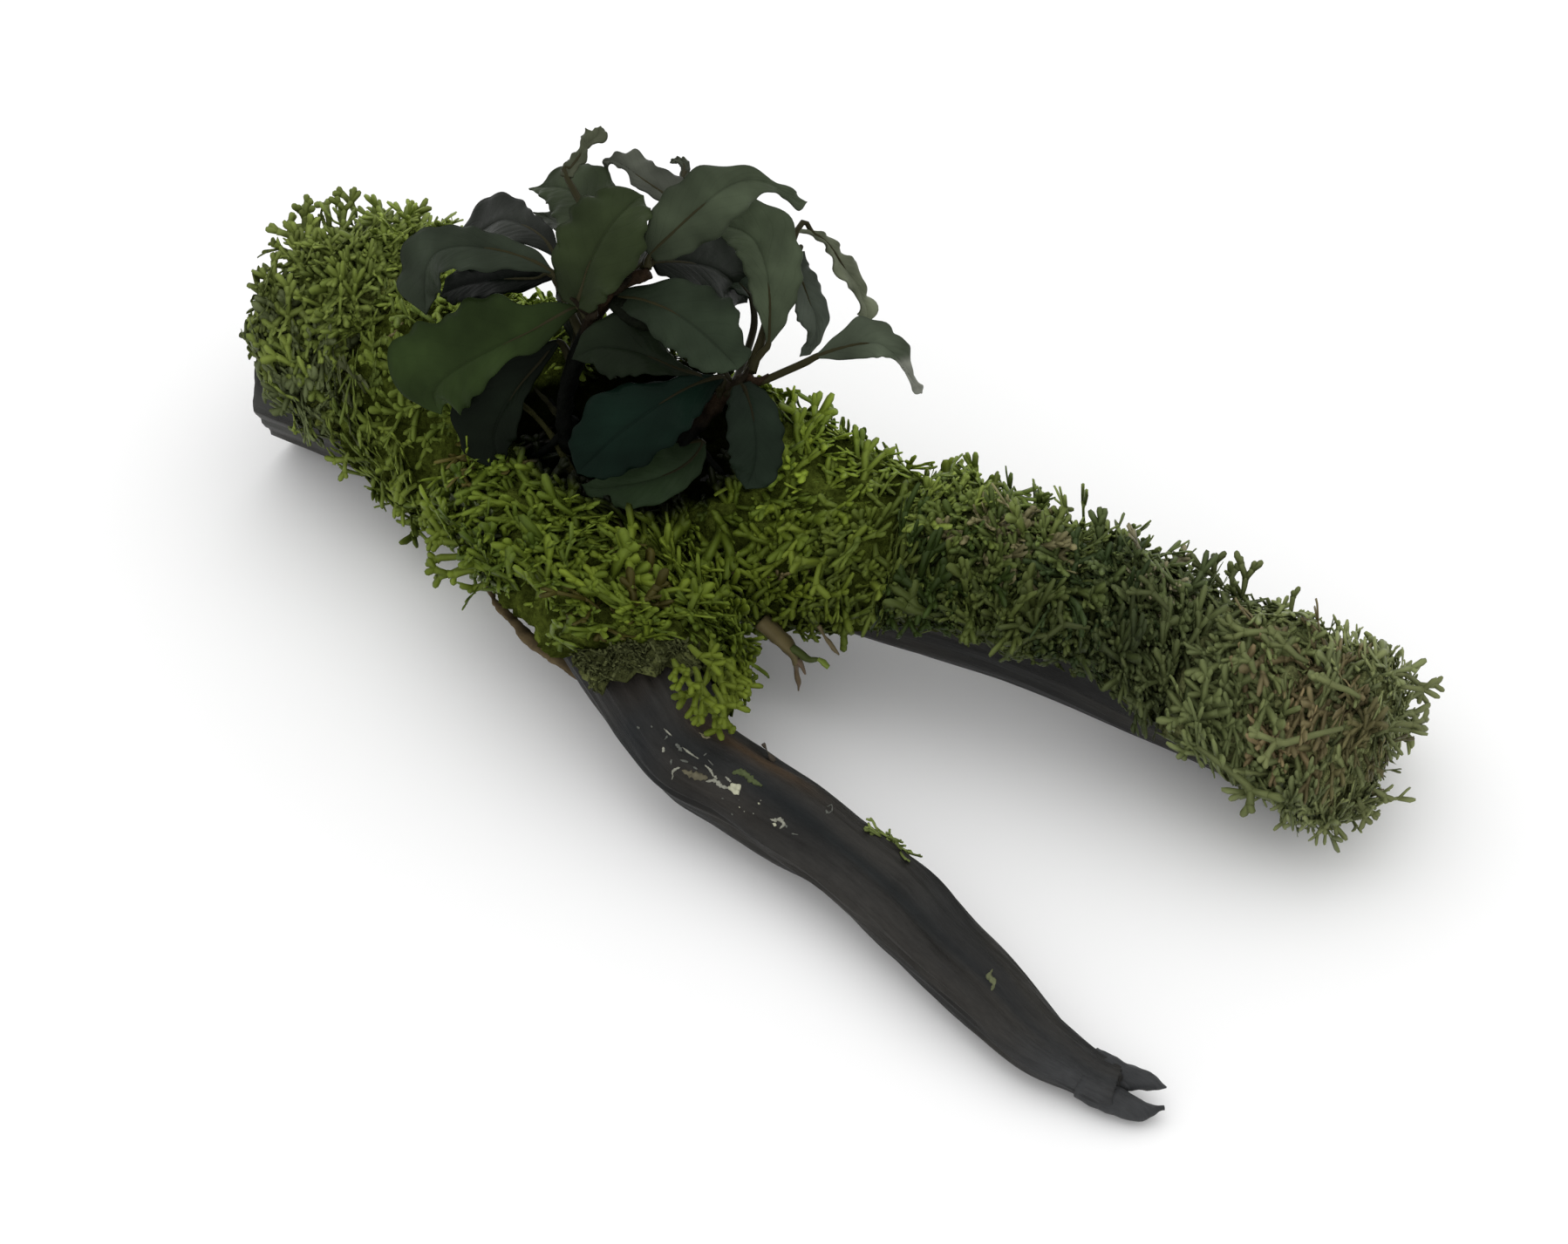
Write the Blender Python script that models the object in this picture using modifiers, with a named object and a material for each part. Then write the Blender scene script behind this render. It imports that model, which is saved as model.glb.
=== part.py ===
# Aquarium plant growing on a forked piece of moss-covered driftwood.
# The wood lies on three worn feet: both ends of the bough and the tip of the lower branch.
# Places and sizes are millimetres in the object's own frame, +X along the bough, +Z up.
import math

import bmesh
import bpy
import numpy as np

MM = 0.001
GAP = 0.3  # air between touching pieces
MAT_GAP = 0.8  # air between a moss mat and the round wood under it
CENTERING = (-11.1, 10.5, 0.0)  # shift that puts the origin under the middle of the object

# Driftwood: x, y, z and radius along each limb
BOUGH_PATH = (
    (-108, 19.0, 19.2, 20.5),
    (-80, 17.0, 20.1, 20.0),
    (-44, 13.0, 24.0, 19.0),
    (-10, 11.0, 25.0, 17.0),
    (32, 11.0, 24.0, 13.5),
    (61, 14.5, 21.0, 12.5),
    (89, 16.5, 17.0, 13.0),
    (114, 17.0, 13.4, 13.3),
    (128, 18.5, 11.6, 12.4),
)
BRANCH_PATH = (
    (-50, 8.0, 24.5, 8.5),
    (-37, -7.0, 23.5, 11.5),
    (-13.0, -20.5, 21.5, 12.2),
    (2.0, -31.5, 19.0, 11.0),
    (11.5, -38.5, 17.0, 10.1),
    (20.5, -43.5, 14.5, 9.0),
    (30.5, -44.7, 13.0, 8.9),
    (41.5, -46.3, 12.0, 9.2),
    (54.5, -49.0, 11.0, 8.2),
    (68.5, -53.5, 10.0, 8.2),
    (80.5, -59.0, 9.0, 7.4),
    (92, -63.5, 8.0, 7.0),
    (103, -68.0, 6.6, 5.9),
    (111.5, -69.0, 5.0, 4.6),
    (118, -69.3, 4.1, 4.5),
    (125.5, -67.5, 3.6, 3.9),
)
FORK = 3.5  # place along BOUGH_PATH where trunk and bough meet
WOOD_SIDES = 14
BOUGH_RINGS = 3  # rings of points per span of the path
BRANCH_RINGS = 2
GROOVE_ANGLE = 50.0  # the branch's long groove, degrees above its front side
GROOVE_WIDTH = 22.0
GROOVE_DEPTH = 0.2  # of the branch's radius
GROOVE_START = 6.0  # place along BRANCH_PATH

# Forked tip of the branch
NOTCH_CENTER = (125.5, -68.0, 3.6)
NOTCH_LENGTH = 11.0
NOTCH_WIDTH = 4.5
NOTCH_HEADING = 12.0
NOTCH_TILT = 35.0

# Splinters that stand off the wood: points from root to tip, and radius at the root
BRANCH_SPLINTER = ((-2, -33.0, 15.0), (-17.2, -32.5, 15.0), (-33.8, -25.2, 14.0))
BRANCH_SPLINTER_RADIUS = 1.6
TRUNK_SPLINTER = ((-106, 13.0, 36.0), (-113, 15.0, 31.0), (-115.5, 12.5, 21.0))
TRUNK_SPLINTER_RADIUS = 1.2

# Moss mats
# heights at equal steps along the limb
LEFT_MOSS = (14.0, 15.0, 12.5)
CENTER_MOSS = (12.5, 10.0, 9.5, 9.5, 9.5)
FORK_MOSS = (9.5,)
RIGHT_MOSS = (10.0,)
OLD_MOSS = (4.0,)
SCRAP_MOSS = (1.6,)
MAT_EDGE = 1.2
MAT_BUTT = 0.6  # share of the squared height that is left where two mats meet
CLEARING_CENTER = (-19, -6.0, 45.0)
CLEARING_SIZE = (19.0, 10.0, 10.5)
STRAND = ((17.5, -11.0, 13.0, 0.9), (20.5, -11.0, 10.5, 0.9), (23.0, -11.0, 8.0, 1.0), (24.5, -11.5, 4.5, 0.6))

# Plant
STEM_RADIUS = 1.7
STEM_A = (
    (-28, -3.0, 38.5),
    (-29, -6.0, 45.0),
    (-30, -3.0, 56.0),
    (-27, 4.0, 71.0),
    (-23, 7.0, 77.0),
    (-18, 9.0, 80.5),
)
STEM_B = (
    (-8, -4.5, 38.5),
    (-7, -4.0, 45.0),
    (-5, 1.0, 52.0),
    (-1, 7.0, 58.0),
    (3, 11.0, 62.0),
)
LEAF_THICKNESS = 0.6
STALK_WIDTH = 1.5
BLADE_SPANS = 7
LEAF_CUP = 0.12
WAVES = 2.0

# Leaves: stem, place along the stem (0 to 1), middle of the midrib, tip, width, roll of the face in degrees,
# hook of the tip, stalk as a share of the length, height of the edge's waves
LEAVES = (
    ("a", 0.57, (-47, -7, 65), (-57, -14, 50), 21.5, -42, 0.0, 0.08, 1.3),
    ("a", 0.61, (-52, 3, 78), (-67, 2, 63), 15.0, -25, 1.0, 0.12, 1.0),
    ("a", 0.66, (-49, 19, 72), (-69, 27, 60), 16.0, -22, 0.0, 0.16, 0.8),
    ("a", 0.52, (-47, 8, 63), (-66, 12, 54), 12.0, -25, 0.0, 0.16, 0.8),
    ("a", 0.46, (-40, -7, 56), (-41, -14.5, 42.5), 15.0, -45, 0.0, 0.18, 0.9),
    ("a", 0.63, (-28, 8, 86), (-24, 21, 89), 19.5, 2, 0.0, 0.06, 1.0),
    ("a", 0.72, (-41, 23, 79), (-57, 29, 73), 15.0, -25, 0.0, 0.14, 1.2),
    ("a", 0.50, (-44, 24, 64), (-60, 38, 54), 14.0, -20, 0.0, 0.16, 0.8),
    ("a", 0.84, (-45, 23, 84), (-44, 36, 88), 5.5, -10, 0.0, 0.5, 0.8),
    ("a", 0.92, (-22, 26, 85), (-41, 33, 83), 10.0, -10, 0.0, 0.40, 1.4),
    ("a", 0.95, (-19, 33, 78), (-27, 43, 80), 5.5, 5, 0.0, 0.30, 1.0),
    ("a", 0.98, (-9, 29, 91), (-1, 41, 81), 12.5, 32, 0.0, 0.14, 1.5),
    ("a", 0.82, (-18, 27, 70), (-16, 42, 60), 14.0, 20, 0.0, 0.20, 0.8),
    ("a", 0.72, (-8, 5, 76), (5, 4, 71), 13.0, 30, 0.0, 0.08, 1.4),
    ("b", 0.78, (-14, 2, 69), (-27, -4, 67), 12.0, -35, 0.0, 0.12, 1.0),
    ("b", 0.90, (1, 25, 75), (-8, 36, 81), 16.0, 8, 0.0, 0.14, 1.0),
    ("b", 0.70, (-9, -5, 59), (-21, -16, 50), 18.0, -38, 0.0, 0.06, 1.0),
    ("b", 0.42, (-10, -8, 48), (-20, -13, 43), 13.0, -30, 0.0, 0.10, 0.9),
    ("b", 0.74, (7, 4, 59), (10, -2, 48), 12.5, 0, 0.0, 0.10, 0.7),
    ("b", 0.86, (19, 21, 68), (29, 29, 60), 10.0, 42, 3.0, 0.36, 1.3),
    ("b", 0.98, (-1, 45, 72), (10, 49, 51), 5.5, 30, 0.0, 0.45, 1.4),
    ("b", 0.94, (-1, 43, 62), (3, 34, 47), 11.0, 35, 0.0, 0.30, 0.8),
    ("a", 0.40, (-42, 20, 58), (-56, 36, 52), 13.0, -15, 0.0, 0.20, 1.0),
    ("a", 0.55, (-31, 30, 66), (-38, 45, 54), 15.0, 0, 0.0, 0.20, 1.0),
    ("b", 0.82, (-8, 32, 60), (-19, 44, 47), 14.0, 10, 0.0, 0.25, 1.0),
    ("b", 0.82, (-9, 15, 65), (-16, 24, 65), 9.0, -15, 0.0, 0.20, 0.8),
)


def clear_scene():
    for obj in list(bpy.data.objects):
        bpy.data.objects.remove(obj)


def material(name, color, roughness):
    mat = bpy.data.materials.new(name)
    mat.use_nodes = True
    shader = mat.node_tree.nodes["Principled BSDF"]
    shader.inputs["Base Color"].default_value = (*color, 1.0)
    shader.inputs["Roughness"].default_value = roughness
    shader.inputs["Metallic"].default_value = 0.0
    return mat


def add_object(name, points, faces, mat, group, parent):
    # one mesh object, with doubled points merged and faces turned outwards
    mesh = bpy.data.meshes.new(name)
    mesh.from_pydata([tuple(p) for p in np.asarray(points) * MM], [], faces)
    work = bmesh.new()
    work.from_mesh(mesh)
    bmesh.ops.remove_doubles(work, verts=work.verts, dist=0.01 * MM)
    bmesh.ops.recalc_face_normals(work, faces=work.faces)
    work.to_mesh(mesh)
    work.free()
    mesh.shade_smooth()
    obj = bpy.data.objects.new(name, mesh)
    if mat:
        mesh.materials.append(mat)
    group.objects.link(obj)
    obj.parent = parent
    return obj


def as_cutter(obj):
    obj.hide_render = True
    obj.display_type = "WIRE"
    return obj


def combine(obj, other, operation):
    boolean = obj.modifiers.new(operation.title() + " " + other.name, "BOOLEAN")
    boolean.operation = operation
    boolean.solver = "EXACT"
    boolean.object = other


def smooth_curve(points, s):
    # Catmull-Rom curve: row i of points is reached at s = i
    pts = np.array(points, float)
    padded = np.vstack((2 * pts[0] - pts[1], pts, 2 * pts[-1] - pts[-2]))
    s = np.asarray(s, float)
    i = np.clip(np.floor(s).astype(int), 0, len(pts) - 2)
    t = (s - i)[..., None]
    a, b, c, d = padded[i], padded[i + 1], padded[i + 2], padded[i + 3]
    return 0.5 * (2 * b + (c - a) * t + (2 * a - 5 * b + 4 * c - d) * t**2 + (3 * b - a - 3 * c + d) * t**3)


def unit(vectors):
    return vectors / np.linalg.norm(vectors, axis=-1, keepdims=True)


def limb_surface(path, s, angle, radius, past=0.0):
    # point at a distance from the limb's axis: angle 0 is the front side, 90 degrees the top
    step = 0.02
    centre = smooth_curve(path, s)[..., :3]
    along = unit(smooth_curve(path, s + step)[..., :3] - smooth_curve(path, s - step)[..., :3])
    up = unit(np.array((0.0, 0.0, 1.0)) - along[..., 2:3] * along)
    side = np.cross(along, up)
    radius = np.asarray(radius)[..., None]
    past = np.asarray(past)[..., None]
    return centre + past * along + radius * (np.cos(angle)[..., None] * side + np.sin(angle)[..., None] * up)


def bough_radius(s, angle):
    lobes = 0.05 * np.sin(2 * angle + 0.9 * s) + 0.03 * np.sin(3 * angle - 1.9 * s + 1.0)
    return smooth_curve(BOUGH_PATH, s)[..., 3] * (1 + lobes)


def branch_radius(s, angle):
    lobes = 0.05 * np.sin(2 * angle + 0.8 * s) + 0.03 * np.sin(3 * angle - 1.3 * s)
    off_groove = (np.degrees(angle) - GROOVE_ANGLE + 180) % 360 - 180
    fade = np.clip((s - GROOVE_START) / 2, 0, 1)
    groove = GROOVE_DEPTH * fade * np.exp(-((off_groove / GROOVE_WIDTH) ** 2))
    return smooth_curve(BRANCH_PATH, s)[..., 3] * (1 + lobes - groove)


BOUGH = (BOUGH_PATH, bough_radius, BOUGH_RINGS)
BRANCH = (BRANCH_PATH, branch_radius, BRANCH_RINGS)


def tube(name, limb, start, end, swell, mat, group, parent):
    # closed loft around a limb; what would reach below the ground is worn flat on it
    path, radius_of, rings_per_span = limb
    rings = max(2, round((end - start) * rings_per_span)) + 1
    s, angle = np.meshgrid(
        np.linspace(start, end, rings),
        np.arange(WOOD_SIDES) * 2 * math.pi / WOOD_SIDES,
        indexing="ij",
    )
    points = limb_surface(path, s, angle, radius_of(s, angle) + swell).reshape(-1, 3)
    ends = smooth_curve(path, np.array((start, end)))[:, :3]
    points = np.vstack((points, ends))
    points[:, 2] = np.maximum(points[:, 2], -swell)
    faces = []
    for i in range(rings - 1):
        for j in range(WOOD_SIDES):
            k = (j + 1) % WOOD_SIDES
            a = i * WOOD_SIDES
            b = a + WOOD_SIDES
            faces.append((a + j, b + j, b + k, a + k))
    first = rings * WOOD_SIDES
    last = (rings - 1) * WOOD_SIDES
    for j in range(WOOD_SIDES):
        k = (j + 1) % WOOD_SIDES
        faces.append((first, j, k))
        faces.append((first + 1, last + k, last + j))
    return add_object(name, points, faces, mat, group, parent)


def grid_shell(inner, outer):
    # closed skin between two grids of the same size
    rows, cols = inner.shape[:2]
    points = np.vstack((inner.reshape(-1, 3), outer.reshape(-1, 3)))
    shift = rows * cols
    faces = []
    for i in range(rows - 1):
        for j in range(cols - 1):
            a = i * cols + j
            quad = (a, a + cols, a + cols + 1, a + 1)
            faces.append(quad[::-1])
            faces.append(tuple(k + shift for k in quad))
    border = [j for j in range(cols)]
    border += [i * cols + cols - 1 for i in range(1, rows)]
    border += [(rows - 1) * cols + j for j in range(cols - 2, -1, -1)]
    border += [i * cols for i in range(rows - 2, 0, -1)]
    for a, b in zip(border, border[1:] + border[:1]):
        faces.append((a, b, b + shift, a + shift))
    return points, faces


def moss_mat(name, limb, starts, ends, low, high, heights, spans, mat, group, parent, hood=0):
    # shell over a limb: starts and ends give the place along the limb at the front, top and back edge,
    # low and high the edge angles in degrees, hood the number of rings that close over the limb's end
    path, radius_of, _ = limb
    rows, cols = spans
    v = np.linspace(0, 1, cols + 1)
    start = np.interp(v, np.linspace(0, 1, len(starts)), starts)
    end = np.interp(v, np.linspace(0, 1, len(ends)), ends)
    u = np.concatenate((np.linspace(0, 1, rows + 1), np.ones(hood)))
    over = np.concatenate((np.zeros(rows + 1), np.linspace(0, 1, hood + 1)[1:]))
    s = start + u[:, None] * (end - start)
    edge_low = np.interp(u, np.linspace(0, 1, len(low)), low)
    edge_high = np.interp(u, np.linspace(0, 1, len(high)), high)
    angle = np.radians(edge_low[:, None] + v * (edge_high - edge_low)[:, None])
    over = np.broadcast_to(over[:, None], s.shape)
    wood = radius_of(s, angle) + MAT_GAP
    across = 1 - np.abs(2 * v - 1) ** 6
    along = 1 - np.abs(2 * u - 1) ** 8 if not hood else 1 - (1 - u) ** 8
    along = MAT_BUTT + (1 - MAT_BUTT) * along
    rim = np.sqrt(across * along[:, None])
    lumps = 1 + 0.12 * np.sin(5.1 * s + 2.0 * angle) + 0.08 * np.sin(3.0 * angle - 7.3 * s + 1.0)
    height = np.interp(u, np.linspace(0, 1, len(heights)), heights)[:, None]
    thick = MAT_EDGE + (height - MAT_EDGE) * rim * lumps / 1.2
    thick += over * (height / 1.2 - thick)
    turn = over * math.pi / 2
    inner = limb_surface(path, s, angle, wood * (1 - over), MAT_GAP * np.sign(over))
    outer = limb_surface(path, s, angle, (wood + thick) * np.cos(turn) ** 0.7, (MAT_GAP + thick) * np.sin(turn))
    points, faces = grid_shell(inner, outer)
    points[:, 2] = np.maximum(points[:, 2], 0)
    return add_object(name, points, faces, mat, group, parent)


def thin_tube(name, path, radii, mat, group, parent):
    # round tube through the points, with filled ends, made a mesh so that it can be joined or cut
    curve = bpy.data.curves.new(name, "CURVE")
    curve.dimensions = "3D"
    curve.bevel_depth = MM
    curve.bevel_resolution = 1
    curve.use_fill_caps = True
    places = np.linspace(0, len(path) - 1, 3 * (len(path) - 1) + 1)
    points = smooth_curve(path, places) * MM
    spline = curve.splines.new("POLY")
    spline.points.add(len(points) - 1)
    for i, point in enumerate(points):
        spline.points[i].co = (*point[:3], 1.0)
        spline.points[i].radius = np.interp(places[i] / places[-1], (0, 1), radii)
    temporary = bpy.data.objects.new(name + "_curve", curve)
    group.objects.link(temporary)
    bpy.context.view_layer.update()
    graph = bpy.context.evaluated_depsgraph_get()
    mesh = bpy.data.meshes.new_from_object(temporary.evaluated_get(graph))
    bpy.data.objects.remove(temporary)
    work = bmesh.new()
    work.from_mesh(mesh)
    bmesh.ops.remove_doubles(work, verts=work.verts, dist=0.01 * MM)
    bmesh.ops.recalc_face_normals(work, faces=work.faces)
    work.to_mesh(mesh)
    work.free()
    mesh.name = name
    mesh.materials.clear()
    if mat:
        mesh.materials.append(mat)
    obj = bpy.data.objects.new(name, mesh)
    group.objects.link(obj)
    obj.parent = parent
    return obj


def leaf_surface(base, middle, tip, width, roll, hook, stalk, wave, phase):
    # grid of points about a midrib from base through middle to tip: a stalk, then a blade with waving edges
    u = np.concatenate(((0.0,), stalk + (1 - stalk) * np.linspace(0, 1, BLADE_SPANS + 1)))
    chord = tip - base
    line = unit(chord)
    level = unit(np.array((0.0, 0.0, 1.0)) - line[2] * line)
    turn = math.radians(roll)
    face = math.cos(turn) * level + math.sin(turn) * np.cross(line, level)
    first = np.linalg.norm(middle - base)
    share = first / (first + np.linalg.norm(tip - middle))
    bend = (middle - (1 - share) ** 2 * base - share**2 * tip) / (2 * share * (1 - share))

    def midrib(u):
        droop = hook * np.clip((u - 0.6) / 0.4, 0, None) ** 2
        return (1 - u) ** 2 * base + 2 * u * (1 - u) * bend + u**2 * tip - droop * level

    u = u[:, None]
    step = 0.01
    forward = unit(midrib(u + step) - midrib(u - step))
    normal = unit(face - (forward @ face)[:, None] * forward)
    sideways = np.cross(forward, normal)
    blade = np.clip((u - stalk) / (1 - stalk), 0, 1)
    shape = np.sin(math.pi * blade**0.85) ** 0.8
    half = STALK_WIDTH / 2 + (width - STALK_WIDTH) / 2 * shape
    half[-1] = LEAF_THICKNESS
    v = np.array((-1.0, -0.5, 0.0, 0.5, 1.0))
    ripple = np.sin(2 * math.pi * WAVES * blade + phase + 1.9 * (v > 0))
    lift = LEAF_CUP * half * shape * np.abs(v) + wave * shape * v**2 * ripple
    return midrib(u)[:, None, :] + (v * half)[..., None] * sideways[:, None, :] + lift[..., None] * normal[:, None, :]


def leaf(name, stem, place, middle, tip, shape, mat, group, parent):
    # the stalk starts just off the stem's skin, on the side that faces the middle of the leaf
    middle = np.array(middle, float)
    s = place * (len(stem) - 1)
    axis = smooth_curve(stem, s)
    along = unit(smooth_curve(stem, s + 0.05) - smooth_curve(stem, s - 0.05))
    away = middle - axis
    out = unit(away - (away @ along) * along)
    base = axis + (STEM_RADIUS + GAP + LEAF_THICKNESS) * out
    grid = leaf_surface(base, middle, np.array(tip, float), *shape, phase=7.0 * place)
    rows, cols = grid.shape[:2]
    faces = []
    for i in range(rows - 1):
        for j in range(cols - 1):
            a = i * cols + j
            faces.append((a, a + 1, a + cols + 1, a + cols))
    mesh = bpy.data.meshes.new(name)
    mesh.from_pydata([tuple(p) for p in grid.reshape(-1, 3) * MM], [], faces)
    mesh.shade_smooth()
    mesh.materials.append(mat)
    obj = bpy.data.objects.new(name, mesh)
    group.objects.link(obj)
    obj.parent = parent
    wall = obj.modifiers.new("Blade", "SOLIDIFY")
    wall.thickness = LEAF_THICKNESS * MM
    wall.offset = 0.0
    return obj


def driftwood(parts, cutters, parent):
    wood = material("driftwood", (0.035, 0.031, 0.028), 0.75)
    splinter = material("splintered wood", (0.16, 0.12, 0.07), 0.85)
    join = GAP / 2 / (BOUGH_PATH[4][0] - BOUGH_PATH[3][0])
    trunk = tube("driftwood_trunk", BOUGH, 0, FORK - join, 0, wood, parts, parent)
    tube("driftwood_bough", BOUGH, FORK + join, len(BOUGH_PATH) - 1, 0, wood, parts, parent)
    branch = tube("driftwood_branch", BRANCH, 0, len(BRANCH_PATH) - 1, 0, wood, parts, parent)
    end_strip = thin_tube("trunk_splinter", TRUNK_SPLINTER, (TRUNK_SPLINTER_RADIUS, 0.4), splinter, cutters, parent)
    combine(trunk, as_cutter(end_strip), "UNION")
    root_strip = thin_tube("branch_splinter", BRANCH_SPLINTER, (BRANCH_SPLINTER_RADIUS, 0.4), splinter, cutters, parent)
    combine(branch, as_cutter(root_strip), "UNION")
    bough_room = tube("bough_room", BOUGH, 0.25, 5.25, GAP, None, cutters, parent)
    combine(branch, as_cutter(bough_room), "DIFFERENCE")
    work = bmesh.new()
    bmesh.ops.create_cone(work, cap_ends=True, segments=3, radius1=1, radius2=1, depth=40)
    mesh = bpy.data.meshes.new("tip_notch")
    work.to_mesh(mesh)
    work.free()
    notch = bpy.data.objects.new("tip_notch", mesh)
    cutters.objects.link(notch)
    notch.parent = parent
    notch.location = np.array(NOTCH_CENTER) * MM
    notch.rotation_euler = (math.radians(NOTCH_TILT), 0, math.radians(NOTCH_HEADING + 180))
    notch.scale = (NOTCH_WIDTH / 2 * MM, NOTCH_LENGTH / 2 * MM, MM)
    combine(branch, as_cutter(notch), "DIFFERENCE")


def moss(parts, cutters, parent):
    bright = material("bright moss", (0.16, 0.24, 0.03), 0.6)
    fine = material("fine moss", (0.07, 0.12, 0.025), 0.7)
    mixed = material("mixed moss", (0.11, 0.16, 0.03), 0.65)
    old = material("old moss", (0.04, 0.05, 0.03), 0.9)
    strand = material("hanging moss", (0.1, 0.09, 0.025), 0.6)
    moss_mat(
        "moss_left", BOUGH, (0.3, 0.2, 0.25), (0.93, 0.96, 0.93), (15, 10, 0), (205,),
        LEFT_MOSS, (6, 12), bright, parts, parent,
    )
    center = moss_mat(
        "moss_center", BOUGH, (0.96, 0.99, 0.96), (4.2, 4.12, 4.05), (-35, -62, -62, -50, -30, -28), (200,),
        CENTER_MOSS, (14, 13), bright, parts, parent,
    )
    moss_mat(
        "moss_middle", BOUGH, (4.23, 4.15, 4.08), (6.2, 6.1, 6.15), (-5, 5, 0), (200,),
        RIGHT_MOSS, (8, 10), fine, parts, parent,
    )
    moss_mat(
        "moss_right", BOUGH, (6.23, 6.13, 6.18), (8,), (-5, -20, -32), (205,),
        RIGHT_MOSS, (7, 10), mixed, parts, parent, hood=4,
    )
    fork = moss_mat(
        "moss_fork", BRANCH, (0.75,), (2.45, 3.2, 4.2), (-15, -5), (185,),
        FORK_MOSS, (7, 9), bright, parts, parent,
    )
    moss_mat(
        "moss_pad", BRANCH, (2.8, 3.17, 3.62), (3.3, 3.6, 3.9), (25,), (120,),
        OLD_MOSS, (3, 6), old, parts, parent,
    )
    moss_mat(
        "moss_scrap", BRANCH, (8.2,), (8.7,), (115,), (165,),
        SCRAP_MOSS, (3, 3), bright, parts, parent,
    )
    branch_room = tube("branch_room", BRANCH, 0, 5, 2 * GAP, None, cutters, parent)
    combine(center, as_cutter(branch_room), "DIFFERENCE")
    clearing = bmesh.new()
    bmesh.ops.create_uvsphere(clearing, u_segments=12, v_segments=8, radius=MM)
    mesh = bpy.data.meshes.new("clearing")
    clearing.to_mesh(mesh)
    clearing.free()
    hollow = bpy.data.objects.new("clearing", mesh)
    cutters.objects.link(hollow)
    hollow.parent = parent
    hollow.location = np.array(CLEARING_CENTER) * MM
    hollow.scale = CLEARING_SIZE
    combine(center, as_cutter(hollow), "DIFFERENCE")
    mat_room = tube("mat_room", BOUGH, 0.5, 5.5, MAT_GAP + FORK_MOSS[0] + GAP, None, cutters, parent)
    combine(fork, as_cutter(mat_room), "DIFFERENCE")
    path = [point[:3] for point in STRAND]
    thin_tube("moss_strand", path, (STRAND[0][3], STRAND[-1][3]), strand, parts, parent)


def plant(parts, parent):
    stem_skin = material("reddish stem", (0.06, 0.025, 0.02), 0.6)
    green = material("leaf", (0.03, 0.05, 0.02), 0.4)
    thin_tube("rhizome_a", STEM_A, (STEM_RADIUS, 0.8 * STEM_RADIUS), stem_skin, parts, parent)
    thin_tube("rhizome_b", STEM_B, (STEM_RADIUS, 0.8 * STEM_RADIUS), stem_skin, parts, parent)
    stems = {"a": STEM_A, "b": STEM_B}
    for number, (stem, place, middle, tip, *shape) in enumerate(LEAVES, 1):
        leaf(f"leaf_{number:02d}", stems[stem], place, middle, tip, shape, green, parts, parent)


def main():
    clear_scene()
    parts = bpy.data.collections.new("aquarium plant on driftwood")
    cutters = bpy.data.collections.new("cutters")
    bpy.context.scene.collection.children.link(parts)
    bpy.context.scene.collection.children.link(cutters)
    root = bpy.data.objects.new("plant_on_driftwood", None)
    parts.objects.link(root)
    root.location = np.array(CENTERING) * MM
    driftwood(parts, cutters, root)
    moss(parts, cutters, root)
    plant(parts, root)


main()
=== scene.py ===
# Aquarium plant on a forked piece of moss-covered driftwood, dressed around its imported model.
# The tables are in millimetres; toFrame moves them into the model's frame, which is centred under its box.
import math

import bpy
import numpy as np
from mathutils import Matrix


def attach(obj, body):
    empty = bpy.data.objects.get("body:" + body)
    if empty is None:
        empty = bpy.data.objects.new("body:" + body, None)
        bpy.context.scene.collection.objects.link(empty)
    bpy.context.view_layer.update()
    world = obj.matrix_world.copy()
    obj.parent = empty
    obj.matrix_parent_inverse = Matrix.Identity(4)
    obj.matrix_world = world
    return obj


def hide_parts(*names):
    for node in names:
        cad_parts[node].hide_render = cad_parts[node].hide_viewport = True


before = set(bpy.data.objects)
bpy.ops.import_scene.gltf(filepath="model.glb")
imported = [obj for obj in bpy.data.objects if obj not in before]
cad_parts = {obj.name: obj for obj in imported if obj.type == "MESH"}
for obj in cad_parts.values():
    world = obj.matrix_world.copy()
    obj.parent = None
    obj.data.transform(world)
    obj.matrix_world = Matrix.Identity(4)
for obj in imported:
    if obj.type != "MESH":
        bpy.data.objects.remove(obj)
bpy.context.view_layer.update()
print("frame loaded:", len(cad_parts), "nodes")

mm = 0.001
shift = np.array((-11.1, 10.5, 0.0))


# ---- number helpers
def toFrame(points):
    return (np.asarray(points, float) + shift) * mm


def unit(v):
    return v / np.maximum(np.linalg.norm(v, axis=-1, keepdims=True), 1e-9)


def srgb(*levels):
    # 0-255 display colour to the linear colour that shaders use
    c = np.array(levels) / 255
    return np.where(c <= 0.04045, c / 12.92, ((c + 0.055) / 1.055) ** 2.4)


def smoothCurve(points, s):
    # Catmull-Rom curve through the rows: row i is reached at s = i
    pts = np.array(points, float)
    padded = np.vstack((2 * pts[0] - pts[1], pts, 2 * pts[-1] - pts[-2]))
    s = np.asarray(s, float)
    i = np.clip(np.floor(s).astype(int), 0, len(pts) - 2)
    t = (s - i)[..., None]
    a, b, c, d = padded[i], padded[i + 1], padded[i + 2], padded[i + 3]
    return 0.5 * (2 * b + (c - a) * t + (2 * a - 5 * b + 4 * c - d) * t**2 + (3 * b - a - 3 * c + d) * t**3)


def lumps(points, size, seed, count=14):
    # smooth noise, about -1 to 1: a sum of sine waves in seeded random directions, size is the wave length
    rnd = np.random.default_rng(seed)
    points = np.asarray(points, float)
    total = np.zeros(points.shape[:-1])
    for _ in range(count):
        direction = rnd.normal(size=points.shape[-1])
        direction *= rnd.uniform(0.7, 1.5) / np.linalg.norm(direction)
        total += np.sin(points @ direction * (2 * math.pi / size) + rnd.uniform(0, 6.3))
    return total / math.sqrt(count / 2)


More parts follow.
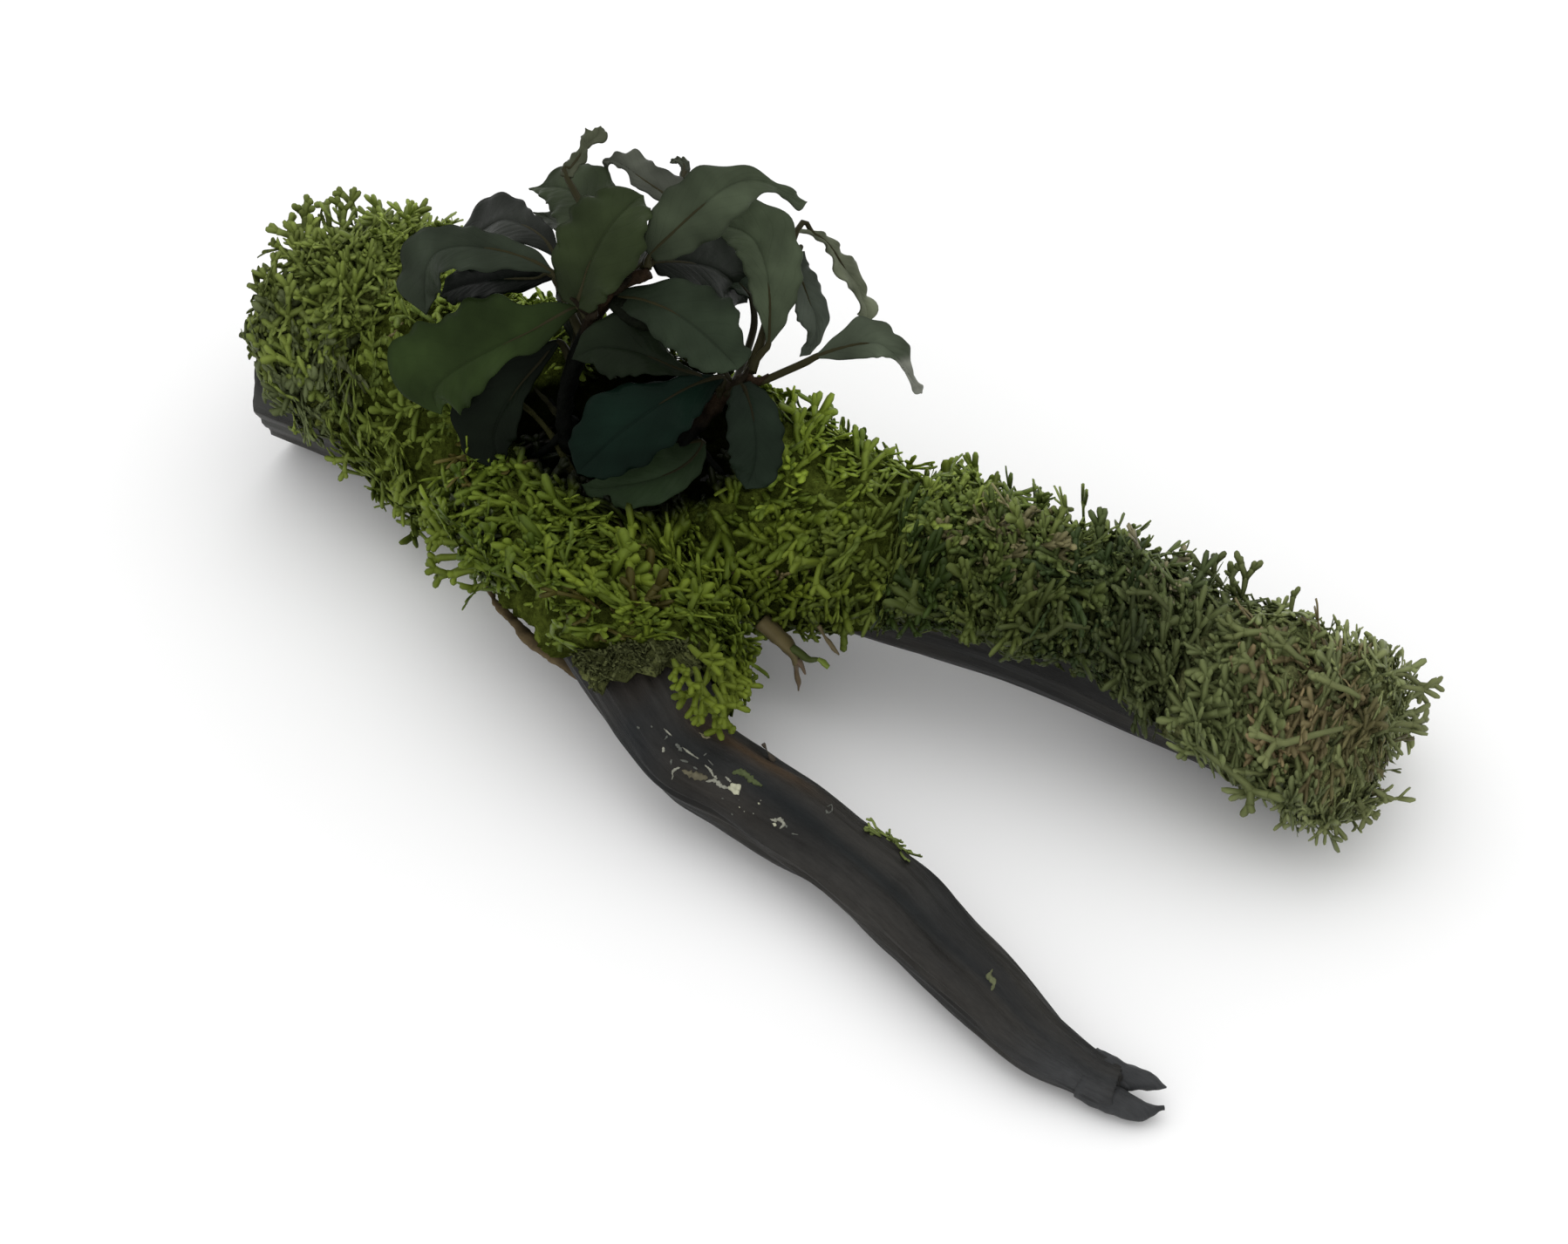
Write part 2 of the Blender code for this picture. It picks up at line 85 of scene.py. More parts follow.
def gridQuads(rows, cols, wrap=False):
    i, j = np.meshgrid(np.arange(rows - 1), np.arange(cols if wrap else cols - 1), indexing="ij")
    k = (j + 1) % cols
    return np.stack((i * cols + j, (i + 1) * cols + j, (i + 1) * cols + k, i * cols + k), -1).reshape(-1, 4)


def joined(shells):
    # shells: (points, faces as a list of index arrays, colours); the same, all in one
    points, faces, colors, first = [], [], [], 0
    for pts, parts, color in shells:
        points.append(pts)
        faces += [part + first for part in parts]
        colors.append(np.broadcast_to(color, (len(pts), 3)))
        first += len(pts)
    return np.vstack(points), faces, np.vstack(colors)


def sweep(path, radii, color, sides=8, flat=1.0, steps=4, wobble=0.0, seed=0):
    # round or flattened tube with closed ends along a smooth curve through the points
    s = np.linspace(0, len(path) - 1, steps * (len(path) - 1) + 1)
    centre = smoothCurve(path, s)
    along = unit(np.gradient(centre, axis=0))
    side = unit(np.cross(along, np.array((0.31, 0.17, 0.93))))
    up = np.cross(side, along)
    radius = np.interp(s, np.linspace(0, len(path) - 1, len(radii)), radii)
    angle = np.arange(sides) * 2 * math.pi / sides
    grid = centre[:, None, :] + radius[:, None, None] * (
        np.cos(angle)[None, :, None] * side[:, None, :] + flat * np.sin(angle)[None, :, None] * up[:, None, :]
    )
    if wobble:
        grid += wobble * lumps(grid, 3.0, seed)[..., None] * unit(grid - centre[:, None, :])
    points = np.vstack((grid.reshape(-1, 3), centre[:1], centre[-1:]))
    quads = gridQuads(len(s), sides, wrap=True)
    j = np.arange(sides)
    k = (j + 1) % sides
    first, last = len(points) - 2, len(points) - 1
    row = (len(s) - 1) * sides
    caps = np.vstack((np.stack((j, k, j * 0 + first), -1), np.stack((row + k, row + j, j * 0 + last), -1)))
    return points, [quads, caps], color


# ---- mesh and material helpers
def newPiece(name, points, faces, material, colors=None, uv=None, stands=()):
    mesh = bpy.data.meshes.new(name)
    mesh.from_pydata(toFrame(points).tolist(), [], [row for part in faces for row in part.tolist()])
    if colors is not None:
        layer = mesh.color_attributes.new("tint", "FLOAT_COLOR", "POINT")
        rgba = np.ones((len(points), 4), np.float32)
        rgba[:, :3] = colors
        layer.data.foreach_set("color", rgba.ravel())
    if uv is not None:
        corner = np.empty(len(mesh.loops), np.int32)
        mesh.loops.foreach_get("vertex_index", corner)
        mesh.uv_layers.new(name="UVMap").data.foreach_set("uv", uv[corner].astype(np.float32).ravel())
    mesh.shade_smooth()
    mesh.materials.append(material)
    piece = bpy.data.objects.new(name, mesh)
    bpy.context.scene.collection.objects.link(piece)
    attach(piece, "root")
    if stands:
        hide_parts(*stands)
    return piece


def addNode(tree, kind, settings=None, **inputs):
    node = tree.nodes.new("ShaderNode" + kind)
    for key, value in (settings or {}).items():
        setattr(node, key, value)
    for key, value in inputs.items():
        socket = node.inputs[int(key[1:])] if key[1:].isdigit() else node.inputs[key.replace("_", " ")]
        if isinstance(value, bpy.types.NodeSocket):
            tree.links.new(value, socket)
        else:
            socket.default_value = value
    return node


def newMaterial(name, roughness, specular, **sockets):
    material = bpy.data.materials.new(name)
    material.use_nodes = True
    tree = material.node_tree
    shader = tree.nodes["Principled BSDF"]
    shader.inputs["Roughness"].default_value = roughness
    shader.inputs["Specular IOR Level"].default_value = specular
    for key, value in sockets.items():
        shader.inputs[key.replace("_", " ")].default_value = value
    return material, tree, shader


def tinted(tree, spots, dark, light):
    # the tint attribute, made darker and lighter in spots by an object-coordinate noise
    tint = addNode(tree, "Attribute", {"attribute_name": "tint"}).outputs["Color"]
    where = addNode(tree, "TexCoord").outputs["Object"]
    noise = addNode(tree, "TexNoise", Vector=where, Scale=spots, Detail=4.0, Roughness=0.6).outputs["Fac"]
    level = addNode(tree, "MapRange", Value=noise, From_Min=0.3, From_Max=0.7, To_Min=dark, To_Max=light).outputs["Result"]
    return addNode(tree, "VectorMath", {"operation": "SCALE"}, i0=tint, Scale=level).outputs["Vector"], where, noise


def bump(tree, shader, height, strength, distance):
    node = addNode(tree, "Bump", Height=height, Strength=strength, Distance=distance)
    tree.links.new(node.outputs["Normal"], shader.inputs["Normal"])


# ---- camera, floor and light
camera = {
    "azimuth": 28.0,  # degrees the view is turned from looking along +Y
    "elevation": 45.0,
    "distance": 620.0,
    "target": (20.0, -8.0, 20.0),
    "perPixel": 0.170,  # millimetres per photo pixel at the target
    "photoSize": (1798, 1427),
}
turn, tip = math.radians(camera["azimuth"]), math.radians(camera["elevation"])
photoRight = np.array((math.cos(turn), math.sin(turn), 0.0))
photoUp = np.array((-math.sin(turn) * math.sin(tip), math.cos(turn) * math.sin(tip), math.cos(tip)))
photoDepth = np.cross(photoUp, photoRight)
photoEye = np.array(camera["target"]) - camera["distance"] * photoDepth
photoFocus = camera["distance"] / camera["perPixel"]
photoMiddle = np.array(camera["photoSize"]) / 2


def toPhoto(points):
    # pixel position and depth of points, seen from the photo's viewpoint
    off = np.asarray(points, float) - photoEye
    depth = off @ photoDepth
    x, y = photoFocus * (off @ photoRight) / depth, photoFocus * (off @ photoUp) / depth
    return np.stack((photoMiddle[0] + x, photoMiddle[1] - y, depth), -1)


def fromPhoto(pixels, depth):
    # the points at a depth behind pixel positions
    off = (np.asarray(pixels, float) - photoMiddle) / photoFocus
    return photoEye + np.asarray(depth)[..., None] * (photoDepth + off[..., :1] * photoRight - off[..., 1:] * photoUp)


def makeCamera():
    data = bpy.data.cameras.new("photo_camera")
    data.sensor_width = 36.0
    data.lens = 36.0 * camera["distance"] / camera["perPixel"] / camera["photoSize"][0]
    data.clip_start = 0.01
    obj = bpy.data.objects.new("photo_camera", data)
    obj.location = toFrame(photoEye)
    obj.rotation_euler = (math.pi / 2 - tip, 0, turn)
    bpy.context.scene.collection.objects.link(obj)
    bpy.context.scene.camera = obj


light = {"world": 1.0, "top": 3.0, "topSize": 1.4, "floor": (0.93, 0.93, 0.93)}


def makeStage():
    world = bpy.data.worlds.new("soft_room")
    world.use_nodes = True
    back = world.node_tree.nodes["Background"]
    back.inputs["Color"].default_value = (1.0, 1.0, 1.0, 1.0)
    back.inputs["Strength"].default_value = light["world"]
    bpy.context.scene.world = world
    lamp = bpy.data.lights.new("top_light", "AREA")
    lamp.size = light["topSize"]
    lamp.energy = light["top"]
    obj = bpy.data.objects.new("top_light", lamp)
    obj.location = (-0.15, 0.25, 1.0)
    obj.rotation_euler = (math.radians(-14), math.radians(-8), 0)
    bpy.context.scene.collection.objects.link(obj)
    mesh = bpy.data.meshes.new("floor")
    half = 4.0
    mesh.from_pydata([(-half, -half, 0), (half, -half, 0), (half, half, 0), (-half, half, 0)], [], [(0, 1, 2, 3)])
    material, _, shader = newMaterial("floor", 0.9, 0.1)
    shader.inputs["Base Color"].default_value = (*light["floor"], 1.0)
    mesh.materials.append(material)
    floor = bpy.data.objects.new("floor", mesh)
    bpy.context.scene.collection.objects.link(floor)
    bpy.context.scene.view_settings.view_transform = "Standard"


makeCamera()
makeStage()
print("camera, floor and light")

# ---- driftwood
boughPath = (
    (-108, 19.0, 19.2, 20.5), (-80, 17.0, 20.1, 20.0), (-44, 13.0, 24.0, 19.0), (-10, 11.0, 25.0, 17.0),
    (32, 11.0, 24.0, 13.5), (61, 14.5, 21.0, 12.5), (89, 16.5, 17.0, 13.0), (114, 17.0, 13.4, 13.3),
    (128, 18.5, 11.6, 12.4),
)
branchPath = (
    (-50, 8.0, 24.5, 8.5), (-37, -7.0, 23.5, 11.5), (-13.0, -20.5, 21.5, 12.2), (2.0, -31.5, 19.0, 11.0),
    (11.5, -38.5, 17.0, 10.1), (20.5, -43.5, 14.5, 9.0), (30.5, -44.7, 13.0, 8.9), (41.5, -46.3, 12.0, 9.2),
    (54.5, -49.0, 11.0, 8.2), (68.5, -53.5, 10.0, 8.2), (80.5, -59.0, 9.0, 7.4), (92, -63.5, 8.0, 7.0),
    (103, -68.0, 6.6, 5.9), (111.5, -69.0, 5.0, 4.6), (118, -69.3, 4.1, 4.5), (125.5, -67.5, 3.6, 3.9),
)
wood = {
    "fork": 3.5,  # place along the bough where trunk and bough meet
    "gap": 0.3,
    "grooveAngle": 50.0,  # degrees above the branch's front side
    "grooveWidth": 22.0,
    "grooveDepth": 0.2,
    "grooveStart": 6.0,
    "ridges": 0.35,  # height of the grain's ridges
    "trim": 0.35,  # taken off the branch's radius for them
    "swell": 0.2,  # added to the bough's
}


def limbFrame(path, s):
    step = 0.02
    centre = smoothCurve(path, s)[..., :3]
    along = unit(smoothCurve(path, s + step)[..., :3] - smoothCurve(path, s - step)[..., :3])
    up = unit(np.array((0.0, 0.0, 1.0)) - along[..., 2:3] * along)
    return centre, along, np.cross(along, up), up


def boughRadius(s, angle):
    wave = 0.05 * np.sin(2 * angle + 0.9 * s) + 0.03 * np.sin(3 * angle - 1.9 * s + 1.0)
    return smoothCurve(boughPath, s)[..., 3] * (1 + wave)


def offGroove(angle):
    return (np.degrees(angle) - wood["grooveAngle"] + 180) % 360 - 180


def branchRadius(s, angle):
    wave = 0.05 * np.sin(2 * angle + 0.8 * s) + 0.03 * np.sin(3 * angle - 1.3 * s)
    fade = np.clip((s - wood["grooveStart"]) / 2, 0, 1)
    groove = wood["grooveDepth"] * fade * np.exp(-((offGroove(angle) / wood["grooveWidth"]) ** 2))
    return smoothCurve(branchPath, s)[..., 3] * (1 + wave - groove)


bough = (boughPath, boughRadius)
branch = (branchPath, branchRadius)


def clearance(points, limb):
    # distance of each point from a limb's mean surface, negative inside it
    path = limb[0]
    samples = smoothCurve(path, np.linspace(0, len(path) - 1, 160))
    return (np.linalg.norm(points[:, None, :] - samples[None, :, :3], axis=2) - samples[None, :, 3]).min(1)


# swellings of the bough and of the branch: place along, angle, their half widths, height
swellings = (
    ((0.1, -50.0, 1.1, 34.0, 1.2), (5.95, -35.0, 0.4, 30.0, 0.6)),
    ((4.9, 0.0, 0.5, 35.0, 0.7),),
)


def barkAt(limb, s, angle, seed):
    # the limb's radius with ridges that run along it: centre, lengthwise and outward directions, radius
    path, radiusOf = limb
    centre, along, side, up = limbFrame(path, s)
    radius = radiusOf(s, angle)
    round3 = np.stack((np.cos(angle) * 3, np.sin(angle) * 3, s * 0.35), -1)
    ridge = wood["ridges"] * (0.6 * lumps(round3, 1.3, seed) + 0.4 * lumps(round3, 0.55, seed + 1))
    radius = radius + ridge * np.clip(radius / 8, 0.3, 1) - (wood["trim"] if limb is branch else -wood["swell"])
    for at, turned, long, wide, height in swellings[limb is branch]:
        off = (np.degrees(angle) - turned + 180) % 360 - 180
        radius = radius + height * np.exp(-(((s - at) / long) ** 2) - (off / wide) ** 2)
    return centre, along, np.cos(angle)[..., None] * side + np.sin(angle)[..., None] * up, radius


def limbSkin(limb, start, end, rings, sides, seed, ends, lip):
    # (place along, angle round) to the bark; ends is the depth of the hollow of each closed end, whose fibres
    # stand out unevenly; each lip is how far, about which angle and how widely the first end runs on past its place
    s, angle = np.meshgrid(np.linspace(start, end, rings), np.arange(sides) * 2 * math.pi / sides, indexing="ij")
    near = np.clip(1 - (s - start) / 0.6, 0, 1)
    for past, at, wide in lip:
        off = (np.degrees(angle) - at + 180) % 360 - 180
        s = s - past * np.exp(-((off / wide) ** 2)) * near
    centre, along, out, radius = barkAt(limb, s, angle, seed)
    grid = centre + radius[..., None] * out
    shells, places, turns = [grid], [s], [angle]
    for which, depth in zip((0, -1), ends):
        inward = 1 if which == 0 else -1
        for share in (0.93, 0.7, 0.4, 0.12):
            turned = np.stack((np.cos(angle[which]), np.sin(angle[which]), 0 * angle[which]), -1)
            ragged = depth * (1 - share**2) + 0.6 * lumps(turned * 3 * share, 0.8, seed + 2) * (1 - share**8)
            ring = centre[which] + share * radius[which][:, None] * out[which] + (inward * ragged)[:, None] * along[which]
            if which == 0:
                shells.insert(0, ring[None])
                places.insert(0, s[:1])
                turns.insert(0, angle[:1])
            else:
                shells.append(ring[None])
                places.append(s[-1:])
                turns.append(angle[-1:])
    grid = np.concatenate(shells)
    s, angle = np.concatenate(places), np.concatenate(turns)
    grid[..., 2] = np.maximum(grid[..., 2], 0.0)
    rows = len(grid)
    points = np.vstack((grid.reshape(-1, 3), grid[0].mean(0), grid[-1].mean(0)))
    j = np.arange(sides)
    k = (j + 1) % sides
    first, last, row = rows * sides, rows * sides + 1, (rows - 1) * sides
    caps = np.vstack((np.stack((j, k, j * 0 + first), -1), np.stack((row + k, row + j, j * 0 + last), -1)))
    uv = np.stack((s, angle / (2 * math.pi)), -1).reshape(-1, 2)
    uv = np.vstack((uv, uv[:1], uv[-1:]))
    return points, [gridQuads(rows, sides, wrap=True), caps], uv


def limbPlaces(limb, extra=0.0):
    # a fine grid over the side of a limb that the photo shows, some millimetres above the wood: place along,
    # angle, pixel position and depth
    path, radiusOf = limb
    s, angle = np.meshgrid(np.linspace(0, len(path) - 1, 700), np.radians(np.arange(-120, 240, 1.5)), indexing="ij")
    centre, along, side, up = limbFrame(path, s)
    out = np.cos(angle)[..., None] * side + np.sin(angle)[..., None] * up
    seen = out @ photoDepth < -0.02
    return s[seen], angle[seen], toPhoto((centre + (radiusOf(s, angle) + extra)[..., None] * out)[seen])


def pixelsAway(places, pixel):
    return np.hypot(places[2][:, 0] - pixel[0], places[2][:, 1] - pixel[1])


branchPlaces = limbPlaces(branch)

# patches of the branch's bark: place along, angle, their half widths, tone, strength
barkPatches = (
    (4.3, 18.0, 0.8, 34.0, srgb(22, 25, 27), 0.9),
    (5.2, 62.0, 0.7, 16.0, srgb(24, 27, 28), 0.8),
    (6.9, 68.0, 0.9, 13.0, srgb(23, 26, 28), 0.9),
    (8.6, 66.0, 1.6, 10.0, srgb(24, 28, 29), 0.85),
    (11.0, 74.0, 1.8, 9.0, srgb(30, 32, 33), 0.7),
    (13.4, 66.0, 1.0, 12.0, srgb(33, 35, 35), 0.7),
    (5.9, 105.0, 1.3, 12.0, srgb(71, 58, 44), 0.95),
    (4.6, 96.0, 0.4, 12.0, srgb(56, 47, 38), 0.8),
    (5.9, 30.0, 1.3, 24.0, srgb(45, 42, 38), 0.7),
    (9.8, 24.0, 2.6, 26.0, srgb(49, 47, 44), 0.6),
    (13.2, 20.0, 1.3, 60.0, srgb(62, 63, 64), 0.85),
    (3.4, 60.0, 0.5, 40.0, srgb(45, 40, 35), 0.7),
)


def woodColors(points, uv, limb):
    # charcoal with paler streaks along the grain, patches on the branch, and at the bough's left end a paler mottled
    # grey: its grey wet wood with painted glints
    s, turn = uv[:, 0], uv[:, 1] * 360
    dark, pale = srgb(37, 37, 36), srgb(50, 48, 44)
    streaks = np.clip(0.5 + 0.6 * lumps(np.stack((s * 0.5, turn / 40), -1), 1.6, 31), 0, 1)
    color = dark + (pale - dark) * (0.6 * streaks)[:, None]
    if limb is branch:
        for at, angle, long, wide, tone, strength in barkPatches:
            off = (turn - angle + 180) % 360 - 180
            near = strength * np.exp(-(((s - at) / long) ** 4)) * np.exp(-((off / wide) ** 2))
            color = color + (tone - color) * near[:, None]
    else:
        # painted highlight: the bough's left end is mottled towards a paler grey that stands for the glints on its wet
        # surface
        end = np.clip(1 - s / 0.9, 0, 1) * np.clip((75 - np.abs((turn - 10 + 180) % 360 - 180)) / 20, 0, 1)
        mottled = np.clip(0.6 + 0.5 * lumps(points, 9.0, 12), 0, 1)
        color = color + (srgb(62, 63, 60) - color) * (0.7 * end * mottled)[:, None]
    return color


def woodMaterial():
    material, tree, shader = newMaterial("damp_driftwood", 0.5, 0.12)
    color, where, noise = tinted(tree, 90.0, 0.82, 1.18)
    uv = addNode(tree, "UVMap").outputs["UV"]
    streak = addNode(tree, "Mapping", Vector=uv, Scale=(2.5, 46.0, 1.0)).outputs["Vector"]
    grain = addNode(tree, "TexNoise", Vector=streak, Scale=1.6, Detail=8.0, Roughness=0.65).outputs["Fac"]
    shade = addNode(tree, "MapRange", Value=grain, From_Min=0.3, From_Max=0.75, To_Min=0.8, To_Max=1.22).outputs["Result"]
    color = addNode(tree, "VectorMath", {"operation": "SCALE"}, i0=color, Scale=shade).outputs["Vector"]
    tree.links.new(color, shader.inputs["Base Color"])
    height = addNode(tree, "Math", {"operation": "MULTIPLY_ADD"}, i0=noise, i1=0.5, i2=grain).outputs["Value"]
    bump(tree, shader, height, 0.6, 0.0005)
    return material


# the forked tip: points from inside the branch to the ends of the upper and the lower prong
prongs = (
    (((113, -67.0, 5.0), (119, -66.6, 4.9), (123.5, -65.6, 4.9), (126.6, -65.0, 4.4)), (3.2, 2.5, 1.7, 0.35), 3),
    (((113, -70.3, 3.9), (119, -71.0, 3.2), (124.0, -70.4, 2.6), (127.6, -68.0, 2.6)), (3.3, 2.6, 2.0, 0.3), 4),
)
barkSeeds = {"driftwood_trunk": 15, "driftwood_bough": 14, "driftwood_branch": 16}


def makeWood():
    material = woodMaterial()
    join = wood["gap"] / 2 / (boughPath[4][0] - boughPath[3][0])
    for name, limb, start, end, rings, sides, ends, lip in (
        ("driftwood_trunk", bough, 0.0, wood["fork"] - join, 120, 96, (2.5, 0.0), ((0.05, -55.0, 32.0), (-0.05, 25.0, 45.0))),
        ("driftwood_bough", bough, wood["fork"] + join, 8.0, 130, 80, (0.0, 1.5), ()),
        ("driftwood_branch", branch, 0.4, 14.1, 260, 88, (0.0, -0.8), ()),
    ):
        points, faces, uv = limbSkin(limb, start, end, rings, sides, barkSeeds[name], ends, lip)
        shells = [(points, faces, woodColors(points, uv, limb))]
        coords = [uv]
        if limb is branch:
            for path, radii, seed in prongs:
                prong = sweep(path, radii, srgb(56, 57, 58), sides=20, steps=8, wobble=0.12, seed=seed)
                shells.append(prong)
                coords.append(np.column_stack((prong[0][:, 0] * 0.09, prong[0][:, 1] * 0.03)))
        points, faces, colors = joined(shells)
        newPiece(name + "_bark", points, faces, material, colors, np.vstack(coords), (name,))


makeWood()

splinterMaterial, tree, shader = newMaterial("splintered_wood", 0.8, 0.15)
color, where, noise = tinted(tree, 260.0, 0.6, 1.35)
tree.links.new(color, shader.inputs["Base Color"])
bump(tree, shader, noise, 0.6, 0.0005)
# splinters: pixels of the photo that they pass, depths of their two ends behind the viewpoint, radii, tone
splinters = {
    "root": (((708, 800), (678, 781), (645, 759), (610, 735), (583, 707), (567, 688), (557, 663)), (616.0, 634.0),
             (1.6, 1.8, 1.8, 1.5, 1.1, 0.8, 0.4), srgb(84, 72, 50)),
    "end": (((322, 345), (310, 358), (300, 377), (295, 401)), (659.8, 660.6), (0.9, 0.6, 0.6, 0.3), srgb(34, 31, 28)),
    "thorn": (((887, 874), (880, 862), (875, 853)), (595.0, 594.5), (0.35, 0.25, 0.06), srgb(60, 54, 46)),
}
shells = []
for pixels, depths, radii, tone in splinters.values():
    path = fromPhoto(pixels, np.linspace(*depths, len(pixels)))
    shells.append(sweep(path, radii, tone, sides=10, flat=0.6, steps=10, wobble=0.2, seed=9))
points, faces, colors = joined(shells)
newPiece("wood_splinters", points, faces, splinterMaterial, colors)

# crusts of lichen and bits of leaf on the branch: pixels of the photo that their middle lines pass, half width
# in millimetres, tone
bone, ash, pale, straw = srgb(136, 136, 124), srgb(92, 94, 88), srgb(168, 168, 146), srgb(128, 122, 96)
crustReadings = (
    (((759, 834), (764, 839), (769, 844)), 0.2, bone),
    (((729, 834), (733, 835)), 0.3, ash),
    (((745, 832), (747, 834)), 0.2, ash),
    (((763, 843), (760, 848)), 0.25, ash),
    (((760, 857), (761, 863)), 0.4, bone),
    (((774, 852), (777, 856), (781, 861)), 0.5, ash),
    (((782, 856), (790, 863), (801, 870)), 0.22, bone),
    (((807, 867), (810, 864)), 0.15, ash),
    (((771, 871), (770, 877)), 0.25, ash),
    (((780, 872), (788, 874)), 0.25, ash),
    (((770, 895), (772, 886), (775, 881), (781, 880)), 0.26, bone),
    (((783, 884), (793, 889), (804, 891), (811, 893)), 0.75, srgb(88, 84, 68)),
    (((808, 877), (812, 882), (816, 887), (818, 891)), 0.3, bone),
    (((810, 896), (819, 896), (827, 901), (837, 905)), 0.4, bone),
    (((838, 899), (843, 906), (842, 912)), 0.95, pale),
    (((835, 903), (842, 905), (849, 900)), 0.7, pale),
    (((831, 890), (838, 897)), 0.3, bone),
    (((845, 926), (846, 928)), 0.25, pale),
    (((850, 931), (851, 932)), 0.2, bone),
    (((863, 933), (864, 934)), 0.15, bone),
    (((868, 921), (870, 922)), 0.28, pale),
    (((837, 934), (840, 936)), 0.2, ash),
    (((872, 917), (873, 918)), 0.12, bone),
    (((846, 917), (848, 918)), 0.15, ash),
    (((826, 917), (828, 917)), 0.15, ash),
    (((883, 940), (888, 941), (893, 940), (897, 946), (893, 951)), 0.42, bone),
    (((886, 945), (890, 948)), 0.35, pale),
    (((900, 946), (902, 950)), 0.25, ash),
    (((907, 956), (914, 958)), 0.15, ash),
    (((949, 923), (954, 922), (955, 927), (951, 931), (947, 929)), 0.16, ash),
    (((947, 929), (950, 932)), 0.3, ash),
    (((804, 843), (809, 845), (815, 845)), 0.26, straw),
    (((801, 840), (808, 843)), 0.1, straw),
    (((840, 887), (847, 885), (854, 887), (862, 894), (873, 900)), 0.85, srgb(70, 78, 50)),
    (((1138, 1110), (1134, 1118), (1140, 1127), (1137, 1136)), 0.5, srgb(92, 96, 70)),
    (((818, 890), (822, 893)), 0.3, bone),
    (((795, 880), (799, 883)), 0.2, ash),
    (((812, 871), (818, 878)), 0.15, ash),
)


def crustSkin(pixels, half, tone, seed):
    # a flat lens-shaped section carried along a curve on the bark, with ragged edges and thin ends
    spots = [np.argmin(pixelsAway(branchPlaces, pixel)) for pixel in pixels]
    line = [(branchPlaces[0][spot], np.degrees(branchPlaces[1][spot])) for spot in spots]
    s = np.linspace(0, len(line) - 1, 5 * (len(line) - 1) + 3)
    place = smoothCurve(line, s)
    centre, _, out, radius = barkAt(branch, place[:, 0], np.radians(place[:, 1]), barkSeeds["driftwood_branch"])
    middle = centre + radius[:, None] * out
    way = unit(np.gradient(middle, axis=0))
    side = np.cross(way, out)
    rnd = np.random.default_rng(seed)
    across = np.array((-1.0, -0.55, 0.0, 0.55, 1.0, 0.0))
    height = np.array((-0.1, 0.3, 0.45, 0.3, -0.1, -0.3)) * min(0.6, 0.3 + 0.4 * half)
    wide = half * (1 - 0.75 * np.abs(2 * s / s[-1] - 1) ** 3) * rnd.uniform(0.6, 1.3, len(s))
    grid = middle[:, None] + (wide[:, None] * across)[..., None] * side[:, None] + height[None, :, None] * out[:, None]
    points = grid.reshape(-1, 3)
    sides = np.arange(6)
    walls = gridQuads(len(s), 6, wrap=True)[:, ::-1]
    return points, [walls, sides[None, ::-1], (points.shape[0] - 1 - sides)[None, ::-1]], tone


crustMaterial, tree, shader = newMaterial("lichen_crust", 0.85, 0.1)
color, where, noise = tinted(tree, 900.0, 0.7, 1.3)
tree.links.new(color, shader.inputs["Base Color"])
points, faces, colors = joined([crustSkin(*row, seed) for seed, row in enumerate(crustReadings)])
newPiece("lichen_crusts", points, faces, crustMaterial, colors)
print("driftwood")
# ---- moss
mossGap = 0.8
mossEdge = 1.2
mossButt = 0.6
# the dark hollow at the plant's foot: ellipsoids, inside 1 the moss is worn away, the first is the deepest; moss in and
# around them is painted darker as the hollow's shade
hollows = (
    (np.array((-19.0, -6.0, 45.0)), np.array((19.0, 10.0, 10.5))),
    (np.array((-29.0, -1.0, 43.0)), np.array((16.0, 10.0, 12.0))),
    (np.array((-2.5, 3.0, 43.0)), np.array((6.5, 7.0, 9.0))),
    (np.array((-15.0, 13.0, 42.0)), np.array((21.0, 13.0, 12.0))),
)
shadowBehindFoot = (np.array((-20.0, 25.0, 47.0)), np.array((19.0, 10.0, 10.0)))  # painted shadow on the moss behind the plant's foot, under its leaves
